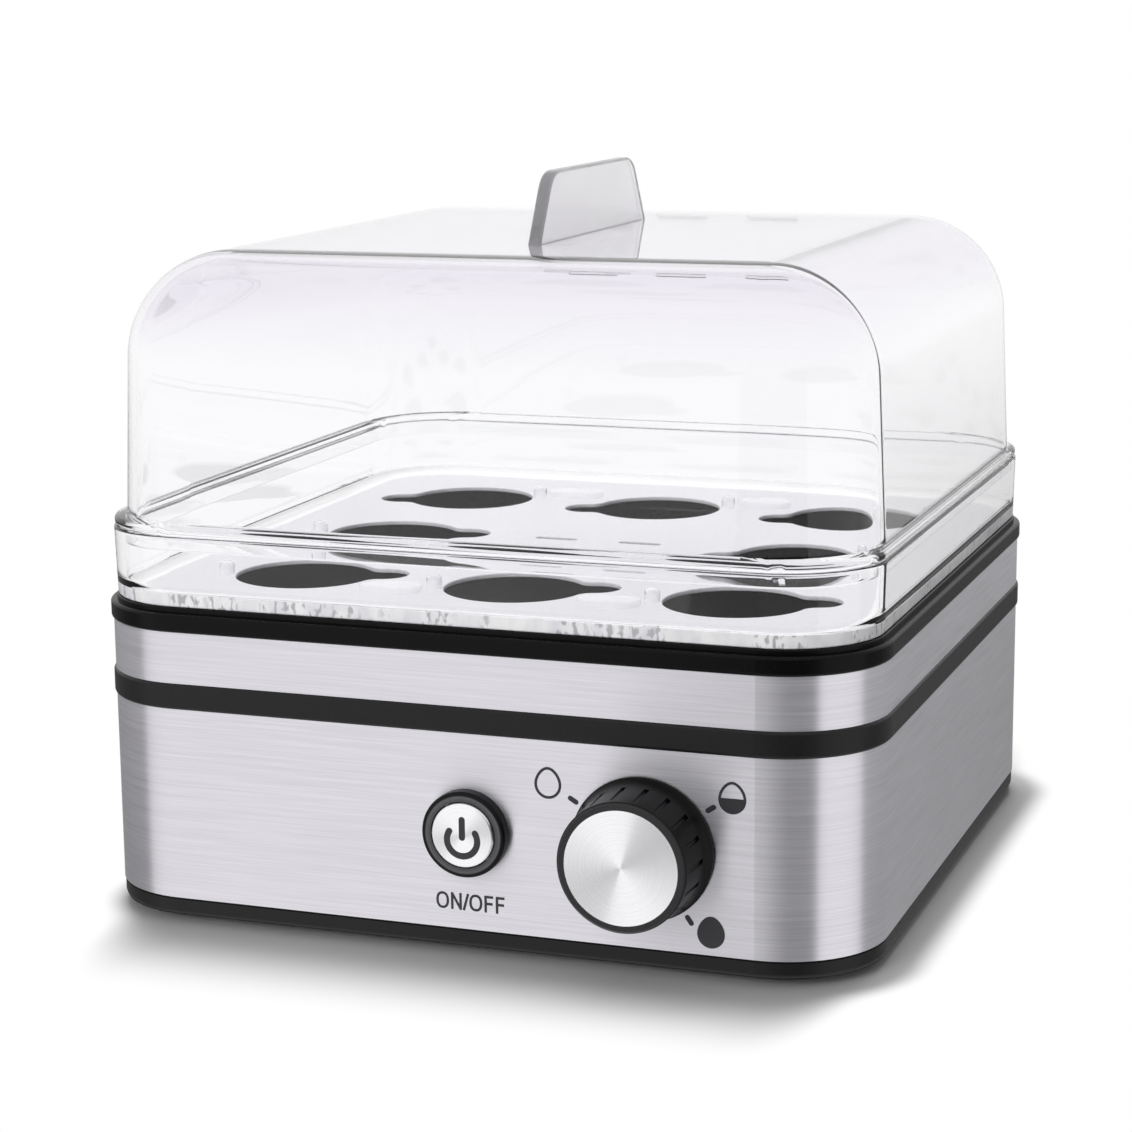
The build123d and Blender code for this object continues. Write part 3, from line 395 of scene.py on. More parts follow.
def newPiece(name, points, faces, material):
    mesh = bpy.data.meshes.new(name)
    mesh.from_pydata(points.reshape(-1, 3).tolist(), [], faces)
    mesh.materials.append(material)
    shadeSmooth(mesh)
    return addObject(name, mesh)


def quadFaces(count, around):
    # quads between each ring of points and the next
    index = np.arange(count * around).reshape(count, around)
    turned = np.roll(index, -1, axis=1)
    return np.stack([index[:-1], turned[:-1], turned[1:], index[1:]], -1).reshape(-1, 4)


def closedPiece(name, rings, material):
    # a stack of rings whose last ring joins its first
    count, around = rings.shape[:2]
    faces = quadFaces(count + 1, around) % (count * around)
    return newPiece(name, rings, faces.tolist(), material)


def manyBlocks(name, blocks, material):
    # stacks of rings in one mesh, each closed at both ends by a fan of triangles about a pole
    points, faces, start = [], [], 0
    for rings in blocks:
        count, around = rings.shape[:2]
        pole = np.full(around, count * around)
        first = np.arange(around)
        after = np.roll(first, -1)
        last = (count - 1) * around
        fans = [np.stack([pole, after, first], -1), np.stack([last + first, last + after, pole + 1], -1)]
        points += [rings.reshape(-1, 3), rings[0].mean(0)[None, :], rings[-1].mean(0)[None, :]]
        for some in [quadFaces(count, around)] + fans:
            faces += (start + some).tolist()
        start += count * around + 2
    return newPiece(name, np.concatenate(points), faces, material)


def cutAway(piece, cutter):
    # takes the cutter's shape out of the piece and leaves one plain mesh
    change = piece.modifiers.new("cut", "BOOLEAN")
    change.object = cutter
    change.operation = "DIFFERENCE"
    change.solver = "EXACT"
    ready = piece.evaluated_get(bpy.context.evaluated_depsgraph_get())
    mesh = bpy.data.meshes.new_from_object(ready)
    piece.modifiers.clear()
    piece.data = mesh
    shadeSmooth(mesh)
    bpy.data.objects.remove(cutter)


def slotPath(length, width, steps=12):
    # a slot's outline about the origin: two half circles and the straight sides between them
    angle = np.concatenate([np.linspace(-pi / 2, pi / 2, steps), np.linspace(pi / 2, 3 * pi / 2, steps)])
    side = np.repeat([1, -1], steps)
    return side * (length - width) / 2, np.cos(angle), np.sin(angle)


def slotBlock(length, width, low, high, x, y, turned=False, edge=0.0):
    # an upright block on a slot's outline, with a rounded top edge; sizes in mm, levels in metres
    grow, drop = edgeRound(edge, 6)
    level = np.concatenate([[low], high - drop * mm])
    middle, c, s = slotPath(length, width)
    radius = (width / 2 - np.concatenate([[0], grow]))[:, None]
    along = (middle[None, :] + radius * c) * mm
    across = radius * s * mm
    if turned:
        along, across = -across, along
    z = np.broadcast_to(level[:, None], along.shape)
    return np.stack([x + along, y + across, z], -1)


# Lid: one closed skin, from the middle of its inner face down to the lip and up again over the bead and dome
lidForm = {"inset": 2.2, "wall": 2.0, "draft": 0.042, "corner": 26.4, "topFillet": 23.4, "neck": 0.4,
           "hold": 0.5, "lipDepth": 3.5, "lipInset": 3.4, "lipWall": 1.5, "lipEdge": 0.4,
           "beadInset": 1.1, "beadHeight": 2.4, "beadEdge": 1.0, "restGap": 0.12,
           "topFrom": 0.96, "topTo": 0.04}
lidVents = {"length": 14.0, "width": 2.4, "pitch": 25.0, "fromBack": 16.2, "depth": 6.0}
handleHoles = {"radius": 2.15, "spacing": 44.0}


def domeRings(inward, low):
    # a wall that leans in with the draft, then a quarter round into the flat top; inward is the depth in the
    # wall, and two rings close to the wall's ends keep its shading flat in between
    form = lidForm
    fillet = form["topFillet"] - inward
    grow, drop = edgeRound(fillet, 22)
    top = lidTop - inward * mm
    wallTop = top - fillet * mm
    hold = form["hold"] * mm
    level = np.concatenate([[low, low + hold, wallTop - hold], top - drop * mm])
    drawnIn = np.concatenate([[0, 0, 0], grow]) + form["draft"] * (level - seatLevel) / mm
    return roundedRings(form["inset"] + inward + drawnIn, form["corner"] - inward - drawnIn, level)


def topRings(edgeRing):
    # the flat top: the edge's ring drawn in towards the middle, to these shares of its size
    middle = edgeRing.mean(0)
    share = np.linspace(lidForm["topFrom"], lidForm["topTo"], 8)[:, None, None]
    return middle + (edgeRing - middle) * share


def lidShell():
    form = lidForm
    rest = seatLevel + form["restGap"] * mm
    beadTop = seatLevel + form["beadHeight"] * mm
    inside = domeRings(form["wall"], beadTop)
    outside = domeRings(0.0, beadTop + form["neck"] * mm)
    grow, drop = edgeRound(form["lipEdge"], 5)
    lipLevel = seatLevel - form["lipDepth"] * mm
    lipInner = form["lipInset"] + form["lipWall"]
    lipTop = bodyRings([lipInner], [beadTop - form["lipEdge"] * mm])
    lipIn = bodyRings(lipInner - grow, lipLevel + drop * mm)
    lipOut = bodyRings(form["lipInset"] + drop, lipLevel + grow * mm)
    under = bodyRings([form["lipInset"]], [rest])
    grow, drop = edgeRound(form["beadEdge"], 7)
    beadLow = bodyRings(form["beadInset"] + drop, rest + grow * mm)
    beadHigh = bodyRings(form["beadInset"] + grow, beadTop - drop * mm)
    rings = np.concatenate([topRings(inside[-1])[::-1], inside[::-1], lipTop, lipIn, lipOut, under, beadLow,
                            beadHigh, outside, topRings(outside[-1])])
    piece = manyBlocks("lidShell", [rings], finishes["clear_plastic"])
    ventY = centreY + halfDepth - (form["inset"] + lidVents["fromBack"]) * mm
    below = lidTop - lidVents["depth"] * mm
    above = lidTop + form["wall"] * mm
    ventX = [lidVents["pitch"] * step * mm for step in (-1, 0, 1)]
    vents = [slotBlock(lidVents["length"], lidVents["width"], below, above, x, ventY) for x in ventX]
    size = 2 * handleHoles["radius"]
    holes = [slotBlock(size, size, below, above, 0, centreY + side * handleHoles["spacing"] / 2 * mm)
             for side in (-1, 1)]
    cutAway(piece, manyBlocks("lidCuts", vents + holes, finishes["clear_plastic"]))
    return piece


def letLightIn(piece):
    # clear plastic passes light: shadow and bounce rays go straight through it
    piece.visible_shadow = False
    piece.visible_diffuse = False
    return piece


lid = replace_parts(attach(letLightIn(lidShell()), "lid"), "lid")
print("lid:", len(lid.data.polygons), "faces")


# Tray: a drafted clear wall that carries the lid's bead, on a pale foot that stands on the black ring and
# rounds into the floor; the floor's sheet reaches a little way into the foot
trayForm = {"footInset": 1.3, "rimInset": 0.9, "wall": 2.0, "edge": 0.5, "floor": 1.2, "floorFillet": 4.0,
            "hold": 0.5, "restGap": 0.1, "floorReach": 0.35, "floorEdge": 0.3, "footTop": 3.1,
            "footGap": 0.05, "splitGap": 1.0, "floorSharp": 50}  # mm, and degrees for the last two


def outerInset(level):
    # the wall leans out from its foot to its rim
    rise = (level - ringTop) / (seatLevel - ringTop)
    return trayForm["footInset"] + (trayForm["rimInset"] - trayForm["footInset"]) * rise


def floorRound(start, end, steps):
    # rings along the round between wall and floor; 0 degrees is the wall's end and 90 the floor's
    turn = np.radians(np.linspace(start, end, steps))
    level = ringTop + (trayForm["floor"] + trayForm["floorFillet"] * (1 - np.sin(turn))) * mm
    inset = outerInset(level) + trayForm["wall"] + trayForm["floorFillet"] * (1 - np.cos(turn))
    return bodyRings(inset, level)


def footSplit():
    # where the foot's top meets the round, in degrees
    return np.degrees(np.arcsin(1 - (trayForm["footTop"] - trayForm["floor"]) / trayForm["floorFillet"]))


def trayWall():
    form = trayForm
    low = ringTop + (form["footTop"] + form["footGap"]) * mm
    grow, drop = edgeRound(form["edge"], 6)
    rim, wall = form["rimInset"], form["wall"]
    outFoot = bodyRings([outerInset(low)], [low])
    outRim = bodyRings(rim + grow, seatLevel - drop * mm)
    inRim = bodyRings(rim + wall - drop, seatLevel - grow * mm)
    # two rings close to the wall's ends, outside and inside, keep its shading flat in between
    footEnd = low + form["hold"] * mm
    rimEnd = seatLevel - (form["edge"] + form["hold"]) * mm
    roundEnd = ringTop + (form["floor"] + form["floorFillet"] + form["hold"]) * mm
    outHold = bodyRings([outerInset(footEnd), outerInset(rimEnd)], [footEnd, rimEnd])
    inHold = bodyRings([wall + outerInset(rimEnd), wall + outerInset(roundEnd)], [rimEnd, roundEnd])
    inFoot = floorRound(0, footSplit() - form["splitGap"], 8)
    inFoot[-1, :, 2] = low
    rings = np.concatenate([outFoot, outHold, outRim, inRim, inHold, inFoot])
    return closedPiece("trayWall", rings, finishes["clear_plastic"])


def trayFoot():
    # the lowest stretch of the wall, where the light that runs down inside the wall comes out
    form = trayForm
    low = ringTop + form["restGap"] * mm
    top = ringTop + form["footTop"] * mm
    grow, drop = edgeRound(form["edge"], 6)
    outFoot = bodyRings(form["footInset"] + drop, low + grow * mm)
    outTop = bodyRings([outerInset(top)], [top])
    inRound = floorRound(footSplit(), 90, 8)
    under = bodyRings([form["footInset"] + form["wall"] + form["floorFillet"]], [low])
    rings = np.concatenate([outFoot, outTop, inRound, under])
    piece = closedPiece("trayFoot", rings, finishes["tray_foot"])
    outlineMap(piece, rings, len(outFoot) + len(outTop))
    return piece


def outlineMap(piece, rings, outerRings):
    # a map of each face's corners: the length along the outline, and 1 on the outer face's rings
    around = rings.shape[1]
    steps = np.linalg.norm(np.roll(rings[0], -1, 0) - rings[0], axis=1)
    length = np.concatenate([[0], np.cumsum(steps)])
    corner = np.zeros(len(piece.data.loops), np.int32)
    piece.data.loops.foreach_get("vertex_index", corner)
    point = (corner % around).reshape(-1, 4)
    # the face that closes the outline ends at the full length, not at nought
    closing = (point.max(1) - point.min(1) == around - 1)[:, None] & (point == 0)
    along = length[np.where(closing, around, point)].ravel()
    outer = (corner // around < outerRings).astype(float)
    layer = piece.data.uv_layers.new(name="outline")
    layer.data.foreach_set("uv", np.stack([along, outer], -1).astype(np.float32).ravel())


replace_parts(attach(letLightIn(trayWall()), "tray"), "egg_tray")
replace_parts(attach(letLightIn(trayFoot()), "tray"), "egg_tray")


# Tray floor: a flat sheet with eight lobed egg seats and four steam slots, every edge a little rounded
eggSeats = {"pitch": 53.0, "radius": 16.6, "lobeRadius": 6.0, "lobeReach": 24.5, "lobeTurn": 17.0,
            "blend": 4.0, "slotLength": 11.0, "slotWidth": 2.6, "slotAcross": 22.0, "slotBack": 10.4}


def seatPath(steps=10):
    # a round seat and a lobe with a round end, joined by two blends
    big, small, blend = eggSeats["radius"], eggSeats["lobeRadius"], eggSeats["blend"]
    lobe = eggSeats["lobeReach"] - small
    # each blend's circle touches the seat from outside, and the lobe's straight flank
    heightUp = small + blend
    across = ((big + blend) ** 2 - heightUp**2) ** 0.5
    meet = atan2(heightUp, across)
    seatArc = np.linspace(meet, 2 * pi - meet, 8 * steps)
    lobeArc = np.linspace(-pi / 2, pi / 2, 3 * steps)
    lowBlend = np.linspace(pi - meet, pi / 2, steps)
    highBlend = np.linspace(-pi / 2, meet - pi, steps)
    x = np.concatenate([big * np.cos(seatArc), across + blend * np.cos(lowBlend),
                        lobe + small * np.cos(lobeArc), across + blend * np.cos(highBlend)])
    y = np.concatenate([big * np.sin(seatArc), -heightUp + blend * np.sin(lowBlend),
                        small * np.sin(lobeArc), heightUp + blend * np.sin(highBlend)])
    return x, y


def seatPlaces():
    # three seats in front and behind, two between; from the middle right on, the lobes point the other way
    places = []
    for row in (-1, 0, 1):
        for column in (-1, 0, 1):
            if row or column:
                turned = row > 0 or (row == 0 and column > 0)
                places.append((column, row, radians(eggSeats["lobeTurn"] + 180 * turned)))
    return places


def closedSpline(curve, x, y):
    spline = curve.splines.new("POLY")
    spline.points.add(len(x) - 1)
    points = np.stack([x * mm, centreY + y * mm, np.zeros_like(x), np.ones_like(x)], -1)
    spline.points.foreach_set("co", points.ravel())
    spline.use_cyclic_u = True


def trayFloor():
    form = trayForm
    curve = bpy.data.curves.new("trayFloor", "CURVE")
    curve.dimensions = "2D"
    curve.fill_mode = "BOTH"
    edge = form["floorEdge"]
    thick = form["floor"] - form["restGap"]
    curve.extrude = (thick / 2 - edge) * mm
    curve.bevel_depth = edge * mm
    curve.bevel_resolution = 3
    curve.offset = -edge * mm
    inset = form["footInset"] + form["wall"] + form["floorFillet"] - form["floorReach"]
    border = bodyRings([inset], [0.0])[0] / mm
    closedSpline(curve, border[:, 0], border[:, 1] - centreY / mm)
    x, y = seatPath()
    for column, row, turn in seatPlaces():
        seatX = column * eggSeats["pitch"] + x * cos(turn) - y * sin(turn)
        seatY = row * eggSeats["pitch"] + x * sin(turn) + y * cos(turn)
        closedSpline(curve, seatX, seatY)
    middle, c, s = slotPath(eggSeats["slotLength"], eggSeats["slotWidth"])
    half = eggSeats["slotWidth"] / 2
    for sideX in (-0.5, 0.5):
        for sideY in (-0.5, 0.5):
            closedSpline(curve, sideX * eggSeats["slotAcross"] + middle + half * c,
                         sideY * eggSeats["slotBack"] + half * s)
    shape = addObject("trayFloorCurve", curve)
    ready = shape.evaluated_get(bpy.context.evaluated_depsgraph_get())
    mesh = bpy.data.meshes.new_from_object(ready)
    mesh.transform(Matrix.Translation((0, 0, ringTop + (form["restGap"] + thick / 2) * mm)))
    mesh.materials.clear()
    mesh.materials.append(finishes["tray_floor"])
    shadeSmooth(mesh, form["floorSharp"])
    bpy.data.objects.remove(shape)
    return addObject("trayFloor", mesh)


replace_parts(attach(trayFloor(), "tray"), "egg_tray")


# Pegs beside the seats, pads between them, and the keys under the floor that find the pan's mouth
trayParts = {"pegRadius": 1.8, "pegHeight": 3.0, "pegEdge": 0.4, "pegRound": 0.7,
             "padLength": 15.0, "padWidth": 9.0, "padHeight": 1.4, "padShift": 11.0, "padRound": 0.6,
             "keyLength": 40.0, "keyDepth": 4.0, "keyWall": 2.0, "keyInset": 15.1}


def trayFittings():
    form = trayParts
    top = ringTop + trayForm["floor"] * mm
    reach = eggSeats["radius"] + form["pegRadius"] + form["pegEdge"]
    size = 2 * form["pegRadius"]
    pitch = eggSeats["pitch"]
    pegs = []
    for column, row, turn in seatPlaces():
        x = (column * pitch - reach * cos(turn)) * mm
        y = centreY + (row * pitch - reach * sin(turn)) * mm
        pegs.append(slotBlock(size, size, top, top + form["pegHeight"] * mm, x, y, False, form["pegRound"]))
    pads = []
    for sideX in (-0.5, 0.5):
        for sideY in (-1, 1):
            x = sideX * pitch * mm
            y = centreY + sideY * (pitch + form["padShift"]) * mm
            pads.append(slotBlock(form["padLength"], form["padWidth"], top, top + form["padHeight"] * mm,
                                  x, y, False, form["padRound"]))
    keys = []
    for side in (-1, 1):
        x = side * (halfWidth - form["keyInset"] * mm)
        y = centreY + side * (halfDepth - form["keyInset"] * mm)
        low = ringTop - form["keyDepth"] * mm
        keys.append(slotBlock(form["keyLength"], form["keyWall"], low, ringTop, x, centreY, True))
        keys.append(slotBlock(form["keyLength"], form["keyWall"], low, ringTop, 0, y))
    return [manyBlocks("trayPegs", pegs, finishes["tray_fittings"]),
            manyBlocks("trayPads", pads, finishes["tray_fittings"]),
            manyBlocks("trayKeys", keys, finishes["clear_plastic"])]


for part in trayFittings():
    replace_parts(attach(letLightIn(part), "tray"), "egg_tray")
print("tray: wall, foot, floor, pegs, pads and keys")


# Print on the front: ticks and egg signs round the knob, words under the button and the power sign on it.
# Sizes in mm, the ticks' turns in degrees, and the half-filled egg's line in radians from its middle
printForm = {"proud": 0.03, "step": 0.003, "stroke": 0.62, "tickWidth": 1.15, "tickIn": 17.1, "tickOut": 19.8,
             "tickTurns": (149.3, 33.8, -55.2), "eggWidth": 6.2, "eggHeight": 7.3, "eggTaper": 0.13,
             "eggRound": 0.06, "fillSize": 0.96, "fillLine": -0.04}
eggSigns = {"soft": (-21.7, 12.8), "medium": (20.1, 13.1), "hard": (15.4, -17.4)}  # mm from the knob's middle


def frontPoints(x, z, proud):
    # millimetres on the front to metres in the frame
    return np.stack([x * mm, np.full_like(x, panelY - proud * mm), z * mm], -1)


def bandFaces(count, closed):
    # quads between two lines of points, with this many points each
    first = np.arange(count if closed else count - 1)
    after = (first + 1) % count
    return np.stack([first, after, after + count, first + count], -1).tolist()


def stroke(x, z, width, closed):
    # a flat band along a line: each point moves half the width to both sides, square to the line
    if closed:
        dx = np.roll(x, -1) - np.roll(x, 1)
        dz = np.roll(z, -1) - np.roll(z, 1)
    else:
        dx, dz = np.gradient(x), np.gradient(z)
    length = np.hypot(dx, dz)
    offX, offZ = -dz / length * width / 2, dx / length * width / 2
    sides = (np.concatenate([at - off, at + off]) for at, off in ((x, offX), (z, offZ)))
    return *sides, bandFaces(len(x), closed)


def eggOutline(size, start=0.0, end=2 * pi):
    # an egg: a cosine across and a sine up, drawn in towards its top and a little towards both ends
    form = printForm
    angle = np.linspace(start, end, 64, endpoint=end - start < 2 * pi)
    up = np.sin(angle)
    across = np.cos(angle) * (1 - form["eggTaper"] * up - form["eggRound"] * up**2)
    return size * form["eggWidth"] / 2 * across, size * form["eggHeight"] / 2 * up


def wholeFace(x, z):
    # one face round an outline
    return x, z, [list(range(len(x)))]


def printPiece(name, parts, proud=printForm["proud"], body="base"):
    points, faces, start = [], [], 0
    for step, (x, z, partFaces) in enumerate(parts):
        # a hair prouder each, so that parts that overlap don't lie in one plane
        points.append(frontPoints(x, z, proud + step * printForm["step"]))
        faces += [[start + v for v in face] for face in partFaces]
        start += len(x)
    piece = newPiece(name, np.concatenate(points), faces, finishes["screen_ink"])
    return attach(piece, body)


def roundedBar(x0, z0, x1, z1, width):
    # a short bar with half-round ends
    length = np.hypot(x1 - x0, z1 - z0)
    middle, c, s = slotPath(length, width, 8)
    ux, uz = (x1 - x0) / length, (z1 - z0) / length
    along, across = middle + width / 2 * c, width / 2 * s
    return wholeFace((x0 + x1) / 2 + along * ux - across * uz, (z0 + z1) / 2 + along * uz + across * ux)


def panelPrint():
    form = printForm
    x0, z0 = knobX / mm, controlZ / mm
    ticks = []
    for turn in form["tickTurns"]:
        c, s = cos(radians(turn)), sin(radians(turn))
        near, far = form["tickIn"], form["tickOut"]
        ticks.append(roundedBar(x0 + near * c, z0 + near * s, x0 + far * c, z0 + far * s, form["tickWidth"]))
    printPiece("panelTicks", ticks)
    signs = []
    for name, (right, up) in eggSigns.items():
        x, z = eggOutline(1 - form["stroke"] / form["eggWidth"])
        signs.append(stroke(x0 + right + x, z0 + up + z, form["stroke"], True))
        if name != "soft":
            line = form["fillLine"]
            ends = (pi - line, 2 * pi + line) if name == "medium" else ()
            x, z = eggOutline(form["fillSize"], *ends)
            signs.append(wholeFace(x0 + right + x, z0 + up + z))
    printPiece("panelEggs", signs)


panelPrint()

# The words' letters, each between two places across the front, and the power sign; mm and degrees
wordsForm = {"low": 10.5, "high": 14.4, "stroke": 0.58, "squareness": 2.3, "middleBar": 0.52,
             "slantDrop": 0.2, "shortBar": 0.15}
letters = (("O", -4.6, -1.55), ("N", -1.07, 1.51), ("/", 1.95, 3.05), ("O", 3.3, 6.4), ("F", 6.9, 9.0),
           ("F", 9.6, 11.7))
powerForm = {"drop": 1.1, "arcRadius": 3.57, "arcStart": 147.0, "arcEnd": 391.0, "stroke": 1.48,
             "barLow": -1.15, "barHigh": 4.32, "proud": 0.02}


def squareBar(x0, z0, x1, z1, width):
    # a straight bar with square ends
    length = np.hypot(x1 - x0, z1 - z0)
    offX, offZ = -(z1 - z0) / length * width / 2, (x1 - x0) / length * width / 2
    return (np.array([x0 - offX, x1 - offX, x1 + offX, x0 + offX]),
            np.array([z0 - offZ, z1 - offZ, z1 + offZ, z0 + offZ]), [[0, 1, 2, 3]])


def letterParts(sign, left, right):
    form = wordsForm
    low, high, width = form["low"], form["high"], form["stroke"]
    first, last = left + width / 2, right - width / 2
    if sign == "/":
        return [squareBar(left, low, right, high, width)]
    if sign == "O":
        # a squarish ellipse: cosine and sine drawn outwards by a power
        angle = np.linspace(0, 2 * pi, 48, endpoint=False)
        power = 2 / form["squareness"]
        c, s = np.cos(angle), np.sin(angle)
        x = (left + right) / 2 + (right - left - width) / 2 * np.sign(c) * np.abs(c) ** power
        z = (low + high) / 2 + (high - low - width) / 2 * np.sign(s) * np.abs(s) ** power
        return [stroke(x, z, width, True)]
    stem = squareBar(first, low, first, high, width)
    if sign == "N":
        slant = squareBar(first, high - form["slantDrop"], last, low + form["slantDrop"], width)
        return [stem, slant, squareBar(last, low, last, high, width)]
    # F: a long bar at the top and a shorter one at the middle
    middle = low + form["middleBar"] * (high - low)
    return [stem, squareBar(left, high - width / 2, right, high - width / 2, width),
            squareBar(left, middle, right - form["shortBar"], middle, width)]


def panelWords():
    parts = []
    for letter in letters:
        parts += letterParts(*letter)
    return printPiece("panelWords", parts)


def powerSign():
    # an open ring set a little low on the face, with round ends, and an upright bar in its gap
    form = powerForm
    proud = (panelY - buttonLow.y) / mm + form["proud"]
    x0, z0 = buttonX / mm, controlZ / mm
    middle = z0 - form["drop"]
    angle = np.radians(np.linspace(form["arcStart"], form["arcEnd"], 64))
    x, z = x0 + form["arcRadius"] * np.cos(angle), middle + form["arcRadius"] * np.sin(angle)
    arc = stroke(x, z, form["stroke"], False)
    dot = np.linspace(0, 2 * pi, 24, endpoint=False)
    half = form["stroke"] / 2
    ends = [wholeFace(x[i] + half * np.cos(dot), z[i] + half * np.sin(dot)) for i in (0, -1)]
    bar = roundedBar(x0, z0 + form["barLow"], x0, z0 + form["barHigh"], form["stroke"])
    return printPiece("powerSign", [arc, bar] + ends, proud, "button")


panelWords()
powerSign()
print("print: ticks, egg signs, words and power sign")


# Pale floor: a round sheet, shaded near the object and plain white farther out, as the white room is; the
# shading ends this far from the body's rounded outline, beside it and in front of it, in metres
floorForm = {"radius": 2.2, "sides": 96, "middle": 0.003, "beside": 0.0085, "before": 0.043,
             "frontPower": 12.0, "fadeStart": 0.1, "colour": "#C6C6C6", "roughness": 0.9}
plainWhite = (1, 1, 1, 1)


def seenDirectly(tree):
    # 1 for what the camera sees, also by way of metal or glass, and 0 for the light that bounces about
    path = addNode(tree, "LightPath").node.outputs
    seen = addNode(tree, "Math", {0: path["Is Camera Ray"], 1: path["Is Glossy Ray"]}, operation="MAXIMUM")
    return addNode(tree, "Math", {0: seen, 1: path["Is Transmission Ray"]}, operation="MAXIMUM")


def paleFloor():
    form = floorForm
    material, tree = newMaterial("paleFloor")
    shaded = addNode(tree, "BsdfPrincipled", {"Base Color": toLinear(form["colour"]),
                                              "Roughness": form["roughness"], "Specular IOR Level": 0.0})
    place = addNode(tree, "TexCoord", output="Object")
    # how far the place lies past the corner centres of the body's outline, across and back
    middle = (form["middle"], centreY, 0)
    moved = addNode(tree, "VectorMath", {0: place, 1: middle}, operation="SUBTRACT")
    size = addNode(tree, "VectorMath", {0: moved}, operation="ABSOLUTE")
    corner = (halfWidth - bodyCorner * mm, halfDepth - bodyCorner * mm, 1)
    beyond = addNode(tree, "VectorMath", {0: size, 1: corner}, operation="SUBTRACT")
    past = addNode(tree, "VectorMath", {0: beyond, 1: (0, 0, 0)}, operation="MAXIMUM")
    length = addNode(tree, "VectorMath", {0: past}, "Value", operation="LENGTH")
    gap = addNode(tree, "Math", {0: length, 1: bodyCorner * mm}, operation="SUBTRACT")
    # how far it lies before or behind that centre, as a share of its distance, sets the shading's reach
    ahead = addNode(tree, "SeparateXYZ", {0: past}, "Y")
    front = addNode(tree, "Math", {0: ahead, 1: length}, operation="DIVIDE")
    share = addNode(tree, "Math", {0: front, 1: form["frontPower"]}, operation="POWER")
    reach = addNode(tree, "MapRange", {"Value": share, "To Min": form["beside"], "To Max": form["before"]})
    away = addNode(tree, "Math", {0: gap, 1: reach}, operation="DIVIDE")
    fade = addNode(tree, "MapRange", {"Value": away, "From Min": form["fadeStart"], "From Max": 1.0},
                   interpolation_type="SMOOTHSTEP")
    share = addNode(tree, "Math", {0: fade, 1: seenDirectly(tree)}, operation="MULTIPLY")
    white = addNode(tree, "Emission", {"Color": plainWhite, "Strength": 1.0})
    addNode(tree, "OutputMaterial", {"Surface": addNode(tree, "MixShader", {0: share, 1: shaded, 2: white})})
    angle = np.linspace(0, 2 * pi, form["sides"], endpoint=False)
    ring = form["radius"] * np.stack([np.cos(angle), np.sin(angle), 0 * angle], -1)
    sheet = newPiece("paleFloor", ring, [list(range(form["sides"]))], material)
    sheet.visible_glossy = False  # metal shows the white room and the cards, down past the table's edge


paleFloor()

# Reflector cards: grey sheets on a circle round the object, which only mirror images show, and which fade to
# the room's white at their tops; metres, and degrees from straight in front, to the right
cardForm = {"radius": 0.45, "low": -0.4, "fade": 0.14, "columns": 60,
            "paleFrom": -0.14, "paleTo": -0.02, "lift": 1.45}
cards = {"cameraCard": {"start": -8.4, "end": 50.0, "grey": 0.15, "high": 0.24},
         "rearCard": {"start": 94.0, "end": 176.0, "grey": 0.24, "high": 0.13},
         "leftCard": {"start": -166.0, "end": -59.0, "grey": 0.2, "high": 0.13}}
# the camera's card starts at a slanting edge, whose tone turns about the tip: darkest along the edge above
# the tip, white below it; the turned discs open this into dark and bright cones; degrees and metres
wedgeForm = {"tip": -0.082, "steep": 75.0, "whiteAt": -38.0, "darkAt": 48.0, "dark": 0.18,
             "blendStart": 5.0, "blendEnd": 32.0}


def wedgeTop(turn, start, high):
    # the slanting edge rises from the tip to the card's full height
    along = cardForm["radius"] * np.radians(turn - start)
    return np.minimum(wedgeForm["tip"] + along * np.tan(radians(wedgeForm["steep"])), high)


def wedgeTone(tree, place, start, grey):
    # the angle about the tip sets the tone near the tip; farther round the card's own grey takes over
    form = wedgeForm
    parts = addNode(tree, "SeparateXYZ", {0: place}).node.outputs
    ahead = addNode(tree, "Math", {0: parts["Y"], 1: -1.0}, operation="MULTIPLY")
    turn = addNode(tree, "Math", {0: parts["X"], 1: ahead}, operation="ARCTAN2")
    past = addNode(tree, "Math", {0: turn, 1: radians(start)}, operation="SUBTRACT")
    along = addNode(tree, "Math", {0: past, 1: cardForm["radius"]}, operation="MULTIPLY")
    rise = addNode(tree, "Math", {0: parts["Z"], 1: form["tip"]}, operation="SUBTRACT")
    slope = addNode(tree, "Math", {0: rise, 1: along}, operation="ARCTAN2")
    ends = {"From Min": radians(form["whiteAt"]), "From Max": radians(form["darkAt"]),
            "To Min": 1.0, "To Max": form["dark"]}
    near = addNode(tree, "MapRange", {"Value": slope, **ends}, interpolation_type="SMOOTHSTEP")
    ends = {"From Min": radians(form["blendStart"]), "From Max": radians(form["blendEnd"])}
    far = addNode(tree, "MapRange", {"Value": past, **ends})
    return addNode(tree, "Mix", {"Factor": far, "A": near, "B": grey})


